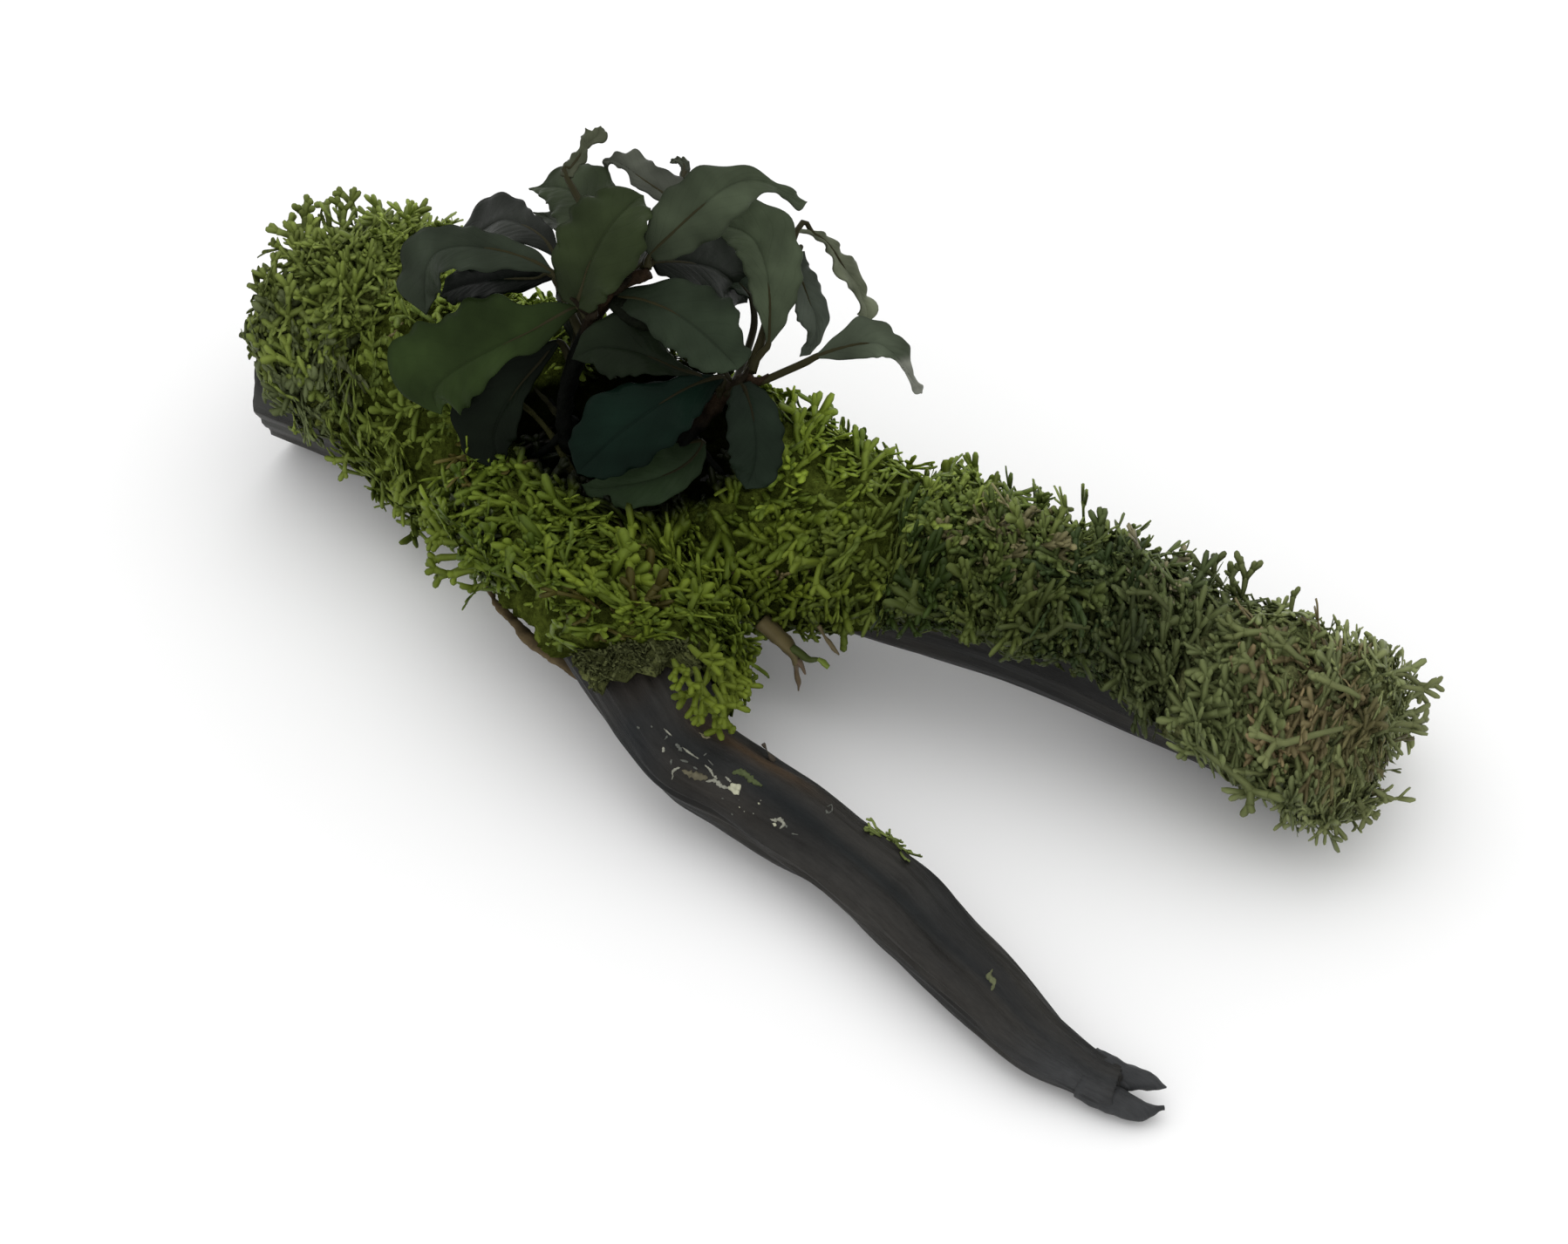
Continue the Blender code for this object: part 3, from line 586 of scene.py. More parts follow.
# each mat: where it starts and ends along its limb at equal steps across, the angles of its lower and upper edge
# at equal steps along, its heights, its painted light at equal steps across (its strands lighter along the upper far
# side, darker low at the front), whether it closes over the limb's end, how far strands may pass its start
mats = {
    "moss_left": dict(
        limb=bough, starts=(0.5, 0.18, 0.06, 0.05, 0.09, 0.14, 0.2, 0.25, 0.28), ends=(0.96, 0.99, 0.96),
        low=(12, 8, 0), high=(205,), heights=(14.0, 15.0, 12.5), hood=False, past=3.0,
        light=(1.1, 1.05, 1.0, 0.98, 1.05, 1.3, 1.5, 1.5, 1.4, 1.3, 1.2),
    ),
    "moss_center": dict(
        limb=bough, starts=(0.94, 0.97, 0.94), ends=(4.2, 4.12, 4.05),
        low=(-12, -50, -58, -50, -45, -40, -2), high=(200,), heights=(12.5, 10.0, 9.5, 9.5, 9.5), hood=False, past=0.6,
        light=(0.9, 0.9, 0.9, 0.9, 0.97, 1.4, 2.0, 2.1, 1.9, 1.6, 1.4),
    ),
    "moss_middle": dict(
        limb=bough, starts=(4.2, 4.12, 4.05), ends=(6.2, 6.1, 6.15),
        low=(2, 13, 12, 24, 18, 4), high=(200,), heights=(10.0,), hood=False, past=0.6,
        light=(0.65, 0.7, 0.82, 1.0, 1.4, 1.85, 2.0, 1.9, 1.8, 1.6, 1.4),
    ),
    "moss_right": dict(
        limb=bough, starts=(6.2, 6.1, 6.15), ends=(8.0,),
        low=(3, 3, -8, -13, -16, -18), high=(205,), heights=(10.0,), hood=True, past=0.6,
        light=(1.3, 1.15, 1.0, 0.93, 1.0, 1.3, 1.45, 1.4, 1.3, 1.25, 1.2),
    ),
    "moss_fork": dict(
        limb=branch, starts=(0.75,), ends=(2.45, 3.3, 4.5),
        low=(-15, -5), high=(185,), heights=(9.5,), light=(1.0,), hood=False, past=0.6,
    ),
    "moss_pad": dict(
        limb=branch, starts=(2.7, 3.1, 3.5), ends=(3.35, 3.25, 3.5, 3.45, 3.7, 3.6, 3.95, 3.8),
        low=(20,), high=(125,), heights=(4.0,), light=(1.0,), hood=False, past=0.0,
    ),
}


def spread(values, u):
    return np.interp(u, np.linspace(0, 1, len(values)), values)


def matPlace(mat, u, v, over=0.0):
    # u along and v across a mat, over from 0 to 1 round the limb's end: a function that gives the point a
    # number of millimetres above the wood, the outward and lengthwise directions, and the mat's thickness
    path, radiusOf = mat["limb"]
    start, end = spread(mat["starts"], v), spread(mat["ends"], v)
    s = start + u * (end - start)
    low, high = spread(mat["low"], u), spread(mat["high"], u)
    angle = np.radians(low + v * (high - low))
    bare = radiusOf(s, angle) + mossGap
    across = 1 - np.clip(np.abs(2 * v - 1), 0, 1) ** 6
    ends = 1 - np.clip(1 - u, 0, 1) ** 8 if mat["hood"] else 1 - np.clip(np.abs(2 * u - 1), 0, 1) ** 8
    rim = np.sqrt(across * (mossButt + (1 - mossButt) * ends))
    bumps = 1 + 0.12 * np.sin(5.1 * s + 2.0 * angle) + 0.08 * np.sin(3.0 * angle - 7.3 * s + 1.0)
    height = spread(mat["heights"], u)
    thick = mossEdge + (height - mossEdge) * rim * bumps / 1.2
    thick = thick + over * (height / 1.2 - thick)
    turn = over * math.pi / 2
    centre, along, side, up = limbFrame(path, s)
    radial = np.cos(angle)[..., None] * side + np.sin(angle)[..., None] * up

    def at(height):
        reach = (bare + height) * np.cos(turn) ** 0.7
        past = (mossGap + height) * np.sin(turn)
        return centre + past[..., None] * along + reach[..., None] * radial

    out = np.cos(turn)[..., None] * radial + np.sin(turn)[..., None] * along
    return at, out, along, thick


def matSize(mat, u, v):
    # millimetres along and across a mat for one unit of u and of v, and the quarter round the limb's end
    at, _, _, thick = matPlace(mat, u, v)
    ahead, _, _, _ = matPlace(mat, u + 0.01, v)
    across, _, _, _ = matPlace(mat, u, v + 0.01)
    high = 0.7 * thick
    here = at(high)
    quarter = math.pi / 2 * (13.0 + 0.5 * thick)
    return (100 * np.linalg.norm(ahead(high) - here, axis=-1), 100 * np.linalg.norm(across(high) - here, axis=-1), quarter)


def inHollow(points):
    return np.min([np.linalg.norm((points - centre) / size, axis=-1) for centre, size in hollows], axis=0)


def shadeAt(points, soft, darkest):
    # painted shade: share of its tone that moss keeps in and around the hollow and in the painted shadow behind the
    # plant's foot
    behind = np.linalg.norm((points - shadowBehindFoot[0]) / shadowBehindFoot[1], axis=-1)
    return np.clip((inHollow(points) - 0.95) / soft, darkest, 1) * np.clip((behind - 0.6) / 0.5, 0.12, 1)


# how the moss changes from the left end to the right: place along the bough, dull and fresh tone
mossTones = (
    (-112, srgb(80, 88, 48), srgb(118, 130, 66)),
    (-85, srgb(82, 94, 42), srgb(120, 134, 58)),
    (-45, srgb(66, 82, 26), srgb(108, 124, 40)),
    (20, srgb(62, 76, 22), srgb(104, 118, 36)),
    (40, srgb(62, 74, 32), srgb(104, 116, 50)),
    (62, srgb(56, 68, 34), srgb(94, 104, 52)),
    (85, srgb(53, 62, 36), srgb(78, 86, 50)),
    (112, srgb(84, 92, 57), srgb(114, 122, 76)),
    (135, srgb(88, 94, 63), srgb(120, 126, 82)),
)
# spots that differ: middle, radius, tone, share of the strands that have it, share of the strands missing
mossSpots = (
    ((-7.6, -18.2, 38), 6.0, srgb(60, 57, 20), 0.5, 0.3),
    ((-3.5, -31.7, 35), 7.0, srgb(62, 58, 22), 0.5, 0.25),
    ((19.4, -9.0, 28), 5.0, srgb(112, 102, 70), 0.85, 0.1),
    ((17.0, -13.0, 23), 5.0, srgb(84, 78, 38), 0.8, 0.1),
    ((-37.0, -25.0, 33), 6.0, srgb(82, 90, 62), 0.8, 0.5),
    ((-93.0, -7.0, 32), 13.0, srgb(84, 92, 58), 0.7, 0.15),
    ((-77.0, -8.0, 34), 8.0, srgb(80, 86, 54), 0.6, 0.2),
    ((-76.7, 11.3, 47), 5.0, srgb(96, 88, 58), 0.8, 0.25),
    ((-43.9, -11.8, 38), 6.0, srgb(84, 78, 36), 0.6, 0.25),
    ((56.4, 12.2, 42), 7.0, srgb(94, 90, 62), 0.8, 0.2),
    ((87.2, 18.8, 38), 6.0, srgb(100, 96, 74), 0.8, 0.2),
    ((119.0, 13.7, 32), 10.0, srgb(98, 90, 62), 0.75, 0.15),
    ((131.9, 9.0, 26), 8.0, srgb(92, 88, 58), 0.6, 0.1),
    ((116.1, 2.4, 28), 4.5, srgb(126, 112, 80), 0.9, 0.2),
    ((75.8, 6.2, 37), 10.0, srgb(48, 60, 32), 0.7, 0.0),
    ((44.2, -0.3, 37), 9.0, srgb(50, 64, 26), 0.7, 0.0),
)


def mossTone(points, rnd):
    # tone of each strand by its place: the bough's own change, soft patches, strand by strand chance, spots
    x = points[:, 0]
    stops = [row[0] for row in mossTones]
    dull, fresh = (np.stack([np.interp(x, stops, [row[k][c] for row in mossTones]) for c in range(3)], -1) for k in (1, 2))
    patch = 0.5 + 0.5 * np.tanh(1.1 * lumps(points, 24.0, 5))
    mix = np.clip(0.6 * rnd.normal(0.5, 0.3, len(points)) + 0.4 * patch, 0, 1)[:, None]
    color = dull + (fresh - dull) * mix
    stay = np.ones(len(points), bool)
    for centre, radius, tone, share, missing in mossSpots:
        near = np.exp(-((np.linalg.norm(points - np.array(centre), axis=1) / radius) ** 4))
        color = np.where((rnd.uniform(size=len(points)) < near * share)[:, None], tone * rnd.uniform(0.8, 1.25, (len(points), 1)), color)
        stay &= rnd.uniform(size=len(points)) > near * missing
    return color, stay


def matBase(name, rows, cols, share, rough, seed, tone):
    # felt of old growth under the strands, dark, and darker still by painted shade in and around the hollow; a closed
    # skin that turns down to the wood at its rim
    mat = mats[name]
    hood = 14 if mat["hood"] else 0
    u = np.concatenate((np.linspace(0, 1, rows), np.ones(hood)))
    over = np.concatenate((np.zeros(rows), np.linspace(0, 1, hood + 1)[1:] * 0.98))
    v = np.linspace(0, 1, cols)
    u, v = np.meshgrid(u, v, indexing="ij")
    over = np.broadcast_to(over[:, None], u.shape)
    at, out, along, thick = matPlace(mat, u, v, over)
    edge = np.minimum(1, np.minimum(v, 1 - v) * cols / 2.5)
    if hood:
        edge = np.minimum(edge, np.minimum(1, u * rows / 2.5))
    else:
        edge = edge * np.minimum(1, np.minimum(u, 1 - u) * rows / 2.5)
    top = at(share * thick * edge)
    worn = np.clip(inHollow(top) - 0.25, 0, 1) if name in ("moss_center", "moss_fork") else np.ones(u.shape)
    top = at(share * thick * edge * worn)
    top = top + (rough * edge * (lumps(top, 5.0, seed) + 0.6 * lumps(top, 2.2, seed + 1)))[..., None] * out
    under = at(np.full(u.shape, -0.4 * mossGap))
    points = np.vstack((top.reshape(-1, 3), under.reshape(-1, 3)))
    points[:, 2] = np.maximum(points[:, 2], 0)
    colors = tone * np.exp(0.3 * lumps(points, 9.0, seed + 3))[:, None]
    # painted shade: the felt is darkened, nearly to black, in and around the hollow and behind the plant's foot
    return points, closedSheet(len(u), cols), colors * shadeAt(points, 0.25, 0.06)[:, None]


def closedSheet(rows, cols):
    # faces of a sheet of two equal grids, one after the other, closed round the rim
    quads = gridQuads(rows, cols)
    first = rows * cols
    ring = np.concatenate((np.arange(cols), np.arange(1, rows) * cols + cols - 1,
                           (rows - 1) * cols + np.arange(cols - 2, -1, -1), np.arange(rows - 2, 0, -1) * cols))
    after = np.roll(ring, -1)
    wall = np.stack((ring, after, after + first, ring + first), -1)
    return [quads, quads[:, ::-1] + first, wall]


def strand(rnd, widths, lengths, forks, bend):
    # one forked strand along +Z, flat in XZ: flattened tubes with blunt ends that part in two once or twice
    tubes = []

    def ribbon(start, heading, lean, length, shares, wide, turn=0.22):
        # carries a diamond-shaped section along a line whose heading and lean turn a little at each step
        count = len(shares)
        a = heading + np.cumsum(rnd.normal(0, turn, count)) * np.minimum(1, np.arange(count))
        b = lean + np.cumsum(rnd.normal(0, bend, count)) * np.minimum(1, np.arange(count))
        run = length * np.diff(shares, prepend=0.0)[:, None]
        step = np.stack((np.sin(a) * np.cos(b), np.sin(b), np.cos(a) * np.cos(b)), -1)
        line = start + np.cumsum(step * run, 0)
        side = np.stack((np.cos(a), 0 * a, -np.sin(a)), -1)
        normal = unit(np.cross(step, side))
        half = w * np.array(wide)
        thin = np.maximum(0.36 * half, 0.22)
        ring = np.stack((line + half[:, None] * side, line + thin[:, None] * normal,
                         line - half[:, None] * side, line - thin[:, None] * normal), 1)
        tubes.append((ring, count))
        return line[-1], a[-1], b[-1]

    w = 0.5 * rnd.uniform(*widths)
    stem, arm, tip = (length * rnd.uniform(0.8, 1.2) for length in lengths)
    end, a, b = ribbon(np.zeros(3), 0.0, 0.0, stem, (0, 0.45, 0.85, 1), (0.6, 0.85, 0.95, 1.15))
    part = rnd.uniform(0.4, 0.7)
    for sign in (-1, 1):
        if forks == 1:
            ribbon(end, a + sign * part, b, tip * rnd.uniform(0.6, 1.35), (0, 0.76, 1), (0.9, 0.95, 0.5))
            continue
        mid, a2, b2 = ribbon(end, a + sign * part, b, arm * rnd.uniform(0.6, 1.3), (0, 0.7, 1), (0.9, 0.85, 1.05), 0.15)
        spread2 = rnd.uniform(0.3, 0.6)
        for turn in (-1, 1):
            ribbon(mid, a2 + turn * spread2, b2, tip * rnd.uniform(0.45, 1.3), (0, 0.76, 1), (0.85, 0.9, 0.5), 0.12)
    points, quads, first = [], [], 0
    for ring, count in tubes:
        points.append(ring.reshape(-1, 3))
        quads.append(gridQuads(count, 4, wrap=True) + first)
        last = first + (count - 1) * 4
        quads.append(np.array(((first, first + 1, first + 2, first + 3), (last + 3, last + 2, last + 1, last))))
        first += count * 4
    points = np.vstack(points)
    return points, np.vstack(quads), points[:, 2].max()


# what the moss leaves bare: pixels of the photo along the root splinter and along the slit above it, and how
# many pixels the strands stay off each
bareLines = (
    (((565, 700), (585, 725), (605, 748), (628, 768), (655, 785)), 17.0),
    (((590, 697), (603, 708), (617, 722)), 8.0),
)


def overSplinter(points):
    # whether any point of each strand is drawn over the bare lines
    shown = toPhoto(points)[..., :2]
    over = np.zeros(len(points), bool)
    if shown[..., 0].min() > 700:
        return over
    for pixels, clear in bareLines:
        line = smoothCurve(pixels, np.linspace(0, len(pixels) - 1, 20))
        away = np.linalg.norm(shown[..., None, :] - line, axis=-1)
        over |= away.min((1, 2)) < clear
    return over


farEdge = 0.18  # how much lower the strands stay along the side away from the viewpoint
rimShare = 0.45  # least share of their height that strands keep towards a mat's rim


def plantStrands(name, number, kinds, base, tips, seed, drop=None, wild=0.04, calm=0.4, fade=0.72, tone=None):
    # sows strands over a mat: each starts base times the mat's thickness above the wood, runs in a seeded
    # direction over the mat's surface and rises to tips times the thickness, a few stand out further
    rnd = np.random.default_rng(seed)
    mat = mats[name]
    u, v = rnd.uniform(0.0, 1, number), rnd.uniform(0.01, 0.99, number)
    long, wide, quarter = matSize(mat, u, v)
    if mat["hood"]:
        u = u * (1 + quarter / long)
        keep = rnd.uniform(size=number) < np.cos(np.clip((u - 1) * long / quarter, 0, 1) * math.pi / 2)
        u, v, long, wide, quarter = (a[keep] for a in (u, v, long, wide, quarter))
    at, out, along, thick = matPlace(mat, np.minimum(u, 1), v, np.clip((u - 1) * long / quarter, 0, 0.98) if mat["hood"] else 0.0)
    root = at(base[0] * thick)
    color, stay = mossTone(root, rnd)
    if tone is not None:
        color = tone * rnd.uniform(0.7, 1.3, (len(root), 1))
    if drop is not None:
        stay &= ~drop(root)
    u, v, long, wide, quarter, thick, color = (a[stay] for a in (u, v, long, wide, quarter, thick, color))
    # painted light: the strands' tone is scaled by the mat's light across it, lighter along the upper far side and
    # darker low at the front
    number, color = len(u), color * spread(mat["light"], v)[:, None]
    templates = [strand(rnd, *kind) for kind in kinds for _ in range(10)]
    which = rnd.integers(0, len(templates), number)
    heading = rnd.uniform(0, 2 * math.pi, number)
    roll = rnd.normal(0, calm, number)
    size = rnd.uniform(0.8, 1.15, number)
    start = thick * rnd.uniform(*base, number)
    far = 1 - farEdge * np.exp(-(((v - 0.68) / 0.18) ** 2)) * (name != "moss_left")
    finish = far * thick * rnd.uniform(*tips, number) + np.where(rnd.uniform(size=number) < wild, rnd.uniform(0.5, 1.8, number), 0)
    arch = rnd.uniform(0.55, 1.3, number)
    shells = []
    for index, (shape, quads, length) in enumerate(templates):
        pick = np.flatnonzero(which == index)
        if not len(pick):
            continue
        many = (slice(None), None)
        x, y, z = (shape[None, :, c] * size[pick][many] for c in range(3))
        full = length * size[pick]
        rise = finish[pick] - start[pick]
        rise = np.clip(rise, 0.0, 0.92 * full)
        low = finish[pick] - rise
        turn, lean = roll[pick][many], np.arcsin(rise / full)[many]
        sideways = x * np.cos(turn) - y * np.sin(turn)
        lift = x * np.sin(turn) + y * np.cos(turn)
        forward = z * np.cos(lean)
        part = np.clip(z / full[many], 0, 1.1)
        high = low[many] + rise[many] * part ** arch[pick][many]
        way = heading[pick]
        goal = v[pick] + full * np.cos(lean[:, 0]) * np.sin(way) / wide[pick]
        way = np.where((goal < 0.01) | (goal > 0.99), -way, way)[many]
        uu = u[pick][many] + (forward * np.cos(way) - sideways * np.sin(way)) / long[pick][many]
        vv = v[pick][many] + (forward * np.sin(way) + sideways * np.cos(way)) / wide[pick][many]
        over = np.clip((uu - 1) * long[pick][many] / quarter[pick][many], 0, 0.98) if mat["hood"] else 0.0
        reach = mat["past"] * np.clip((vv - 0.18) / 0.2, 0.1, 1) / long[pick][many]
        uu = np.clip(uu, -reach, 1.0 if mat["hood"] else 1 + 0.6 / long[pick][many])
        vv = np.clip(vv, -0.01, 1.01)
        placeAt, _, _, here = matPlace(mat, uu, vv, over)
        high = high * np.maximum(here / thick[pick][many], rimShare) + lift * np.cos(lean)
        points = placeAt(np.maximum(high, 0.2))
        points[..., 2] = np.maximum(points[..., 2], 0.05)
        span = np.linalg.norm(points[:, quads[:, 1]] - points[:, quads[:, 0]], axis=2)
        true = np.linalg.norm(shape[quads[:, 1]] - shape[quads[:, 0]], axis=1)
        sound = ((span / (true * size[pick][many] + 0.3)).max(1) < 1.4) & ~overSplinter(points)
        sound &= np.where(true > 0.8, span / (true * size[pick][many]), 1).min(1) > 0.5
        points, part, high, pick = points[sound], part[sound], high[sound], pick[sound]
        level = high / matPlace(mat, uu[sound], vv[sound], over[sound] if mat["hood"] else 0.0)[3]
        # painted shade: strands that end deeper in the mat keep as little as fade of their tone, those in and around
        # the hollow and behind the plant's foot less still; each strand is also darker towards its base
        shade = fade + (1 - fade) * np.clip((level - 0.3) / 0.55, 0, 1)
        tint = color[pick][:, None] * (shade * shadeAt(points, 0.35, 0.04) * (0.86 + 0.24 * part))[..., None]
        faces = (quads[None, :, ::-1] + (np.arange(len(pick)) * len(shape))[:, None, None]).reshape(-1, 4)
        shells.append((points.reshape(-1, 3), [faces], tint.reshape(-1, 3)))
    return joined(shells)


def loneStrand(rnd, base, tip, width, forks, tone, facing=(0.33, -0.62, 0.71)):
    # one strand from base to tip, its flat side turned to the facing direction
    base, tip = np.array(base, float), np.array(tip, float)
    far = np.linalg.norm(tip - base)
    arm, end = min(0.35 * far, 2.8), min(0.35 * far, 2.4)
    lengths = (far - 0.9 * arm - 0.85 * end, arm, end) if forks == 2 else (far - 0.85 * end, 0, end)
    shape, quads, length = strand(rnd, (width, width), lengths, forks, 0.12)
    grow = (tip - base) / far
    face = unit(np.array(facing) - (np.array(facing) @ grow) * grow)
    points = base + shape[:, :1] * np.cross(face, grow) + shape[:, 1:2] * face + shape[:, 2:] * (far / length) * grow
    points[:, 2] = np.maximum(points[:, 2], 0.1)
    return points, [quads[:, ::-1]], tone * (0.8 + 0.3 * shape[:, 2:] / length)


strandMaterial, tree, shader = newMaterial("moss_strands", 0.42, 0.1)
color, where, noise = tinted(tree, 260.0, 0.84, 1.16)
tree.links.new(color, shader.inputs["Base Color"])
bump(tree, shader, noise, 0.15, 0.0003)
feltMaterial, tree, shader = newMaterial("moss_felt", 0.9, 0.0)
color, where, noise = tinted(tree, 700.0, 0.45, 1.5)
tree.links.new(color, shader.inputs["Base Color"])
bump(tree, shader, noise, 1.0, 0.0015)

# strand kinds: range of widths, lengths of stem, arm and tip, number of partings, bend out of the flat
strap = ((1.3, 1.7), (5.1, 3.5, 2.8), 2, 0.12)
thickStrap = ((1.5, 1.9), (5.0, 3.7, 3.0), 2, 0.12)
fineStrap = ((1.1, 1.5), (3.4, 2.4, 2.0), 2, 0.16)
tuft = ((1.0, 1.35), (3.2, 0.0, 2.6), 1, 0.18)
longStrap = ((1.25, 1.65), (5.2, 3.8, 3.0), 2, 0.12)
fuzz = ((0.6, 0.9), (1.6, 0.0, 1.4), 1, 0.3)


def offLimits(points):
    return (clearance(points, branch) < 3.0) | (inHollow(points) < 1.05)


def inBough(points):
    return (clearance(points, bough) < 3.0) | (inHollow(points) < 1.05)


def makeMoss():
    for name, rows, cols, share, rough, slotName, tone in (
        ("moss_left", 40, 110, 0.6, 0.5, "moss_bright", srgb(92, 100, 48)),
        ("moss_center", 130, 130, 0.55, 0.5, "moss_bright", srgb(56, 64, 22)),
        ("moss_middle", 80, 90, 0.6, 0.5, "moss_fine", srgb(64, 70, 38)),
        ("moss_right", 60, 90, 0.6, 0.5, "moss_mixed", srgb(104, 108, 70)),
        ("moss_fork", 70, 70, 0.55, 0.5, "moss_bright", srgb(60, 68, 24)),
        ("moss_pad", 60, 90, 0.9, 0.35, "moss_old", srgb(74, 78, 46)),
    ):
        points, faces, colors = matBase(name, rows, cols, share, rough, rows, tone)
        newPiece(name + "_felt", points, faces, feltMaterial, colors, None, (name,))
    print("moss felt")
    # the last number of each row, fade, is the share of tone that the deepest strands keep: painted shade
    for piece, name, number, kinds, base, tips, slotName, drop, wild, fade in (
        ("moss_left_strands", "moss_left", 1000, (strap, strap, thickStrap), (0.35, 0.6), (0.75, 1.0), "moss_bright", None, 0.03, 0.88),
        ("moss_center_strands", "moss_center", 1100, (strap, strap, thickStrap), (0.25, 0.5), (0.76, 0.98), "moss_bright", offLimits, 0.01, 0.75),
        ("moss_center_depths", "moss_center", 900, (strap, fineStrap), (0.25, 0.45), (0.5, 0.75), "moss_bright", offLimits, 0.0, 0.75),
        ("moss_fork_strands", "moss_fork", 820, (strap, thickStrap), (0.25, 0.5), (0.75, 1.0), "moss_bright", inBough, 0.02, 0.85),
        ("moss_middle_strands", "moss_middle", 1300, (fineStrap, fineStrap, tuft, longStrap), (0.4, 0.65), (0.68, 0.87), "moss_fine", None, 0.02, 0.85),
        ("moss_middle_depths", "moss_middle", 700, (fineStrap, tuft), (0.35, 0.55), (0.5, 0.75), "moss_fine", None, 0.0, 0.8),
        ("moss_right_strands", "moss_right", 1200, (fineStrap, longStrap, tuft), (0.4, 0.65), (0.68, 0.86), "moss_mixed", None, 0.02, 1.02),
        ("moss_right_straps", "moss_right", 480, (longStrap, strap), (0.45, 0.7), (0.72, 0.9), "moss_mixed", None, 0.02, 1.02),
    ):
        points, faces, colors = plantStrands(name, number, kinds, base, tips, number, drop, wild, fade=fade)
        newPiece(piece, points, faces, strandMaterial, colors)
        print(piece, sum(len(part) for part in faces) * 2, "triangles")
    points, faces, colors = plantStrands("moss_pad", 420, (fuzz,), (0.5, 0.9), (0.9, 1.15), 8, calm=0.8, tone=srgb(78, 82, 52))
    newPiece("moss_pad_fuzz", points, faces, feltMaterial, colors)


makeMoss()

# strands that stand out from the mats' outline, and long ones that lie on them: pixels of the photo at their
# base and tip, width, partings, how much nearer than the mat they lie
strandReadings = (
    ((530, 608), (484, 612), 1.5, 2, 0),
    ((536, 622), (485, 622), 1.5, 2, 0),
    ((538, 636), (484, 638), 1.6, 1, 0),
    ((545, 648), (485, 651), 1.6, 2, 0),
    ((552, 655), (512, 656), 1.5, 1, 0),
    ((562, 664), (538, 682), 1.5, 1, 0),
    ((520, 595), (490, 600), 1.4, 1, 0),
    ((500, 570), (462, 572), 1.5, 2, 0),
    ((470, 540), (436, 545), 1.7, 2, 0),
    ((478, 556), (446, 566), 1.6, 1, 0),
    ((400, 520), (376, 532), 1.5, 2, 0),
    ((352, 262), (338, 228), 1.5, 2, 0),
    ((378, 262), (374, 226), 1.6, 1, 0),
    ((408, 250), (405, 213), 1.5, 2, 0),
    ((336, 300), (327, 268), 1.5, 2, 0),
    ((440, 262), (438, 236), 1.4, 1, 0),
    ((470, 265), (466, 231), 1.4, 2, 0),
    ((345, 280), (330, 245), 1.6, 2, 0),
    ((365, 275), (352, 232), 1.6, 2, 0),
    ((392, 270), (388, 222), 1.5, 2, 0),
    ((455, 490), (434, 497), 1, 1, 0),
    ((818, 785), (845, 838), 1.4, 2, 0),
    ((832, 770), (850, 806), 1.3, 2, 0),
    ((800, 780), (828, 822), 1.3, 2, 0),
    ((844, 748), (864, 772), 1.3, 2, 0),
    ((782, 762), (792, 800), 1.4, 2, 2),
    ((796, 765), (808, 810), 1.5, 2, 2),
    ((812, 768), (826, 822), 1.4, 2, 1),
    ((826, 762), (842, 812), 1.5, 2, 2),
    ((838, 754), (856, 792), 1.4, 2, 1),
    ((846, 726), (868, 754), 1.4, 2, 2),
    ((850, 710), (873, 738), 1.3, 2, 1),
    ((858, 722), (880, 742), 1.3, 1, 0),
    ((818, 788), (838, 834), 1.4, 2, 1),
    ((826, 788), (841, 832), 1.3, 2, 0),
    ((838, 776), (852, 806), 1.3, 2, 1),
    ((804, 784), (818, 814), 1.3, 1, 2),
    ((772, 756), (778, 786), 1.4, 2, 2),
    ((790, 740), (812, 776), 1.5, 2, 4),
    ((815, 735), (838, 772), 1.5, 2, 4),
    ((838, 730), (862, 762), 1.4, 2, 4),
    ((1128, 575), (1120, 545), 0.9, 1, 0),
    ((1200, 605), (1188, 573), 1.1, 2, 0),
    ((1208, 602), (1212, 574), 1, 1, 0),
    ((1284, 640), (1280, 612), 1, 1, 0),
    ((1402, 672), (1396, 630), 1.3, 2, 0),
    ((1425, 682), (1438, 640), 1.3, 2, 0),
    ((1412, 672), (1416, 645), 1.1, 1, 0),
    ((1480, 705), (1488, 672), 1.1, 1, 0),
    ((1600, 775), (1658, 758), 1.2, 2, 0),
    ((1598, 785), (1650, 778), 1.2, 1, 0),
    ((1600, 832), (1648, 828), 1.3, 2, 0),
    ((1526, 925), (1528, 957), 1.2, 2, 0),
    ((1558, 918), (1568, 948), 1.3, 2, 0),
    ((1575, 905), (1590, 925), 1.2, 1, 0),
    ((1477, 728), (1404, 692), 1.6, 2, 5),
    ((1440, 772), (1412, 742), 1.4, 2, 5),
    ((1373, 857), (1480, 888), 1.5, 2, 5),
    ((1540, 835), (1436, 862), 1.5, 2, 5),
    ((1500, 760), (1445, 728), 1.5, 2, 5),
    ((1560, 800), (1500, 780), 1.4, 2, 5),
    ((1340, 700), (1290, 680), 1.3, 2, 5),
    ((1250, 720), (1190, 705), 1.2, 2, 5),
)


def onMats(places, pixel, nearer, root=None):
    # the point that a pixel shows on a rough skin over the moss, at most 3 mm nearer or farther than the root
    depth = np.concatenate([place[2][:, 2] for place in places])
    away = np.concatenate([pixelsAway(place, pixel) for place in places])
    depth = depth[away < away.min() + 2].min() - nearer
    if root is not None:
        depth = np.clip(depth, toPhoto(root[None])[0, 2] - 3, toPhoto(root[None])[0, 2] + 3)
    return fromPhoto(pixel, depth)


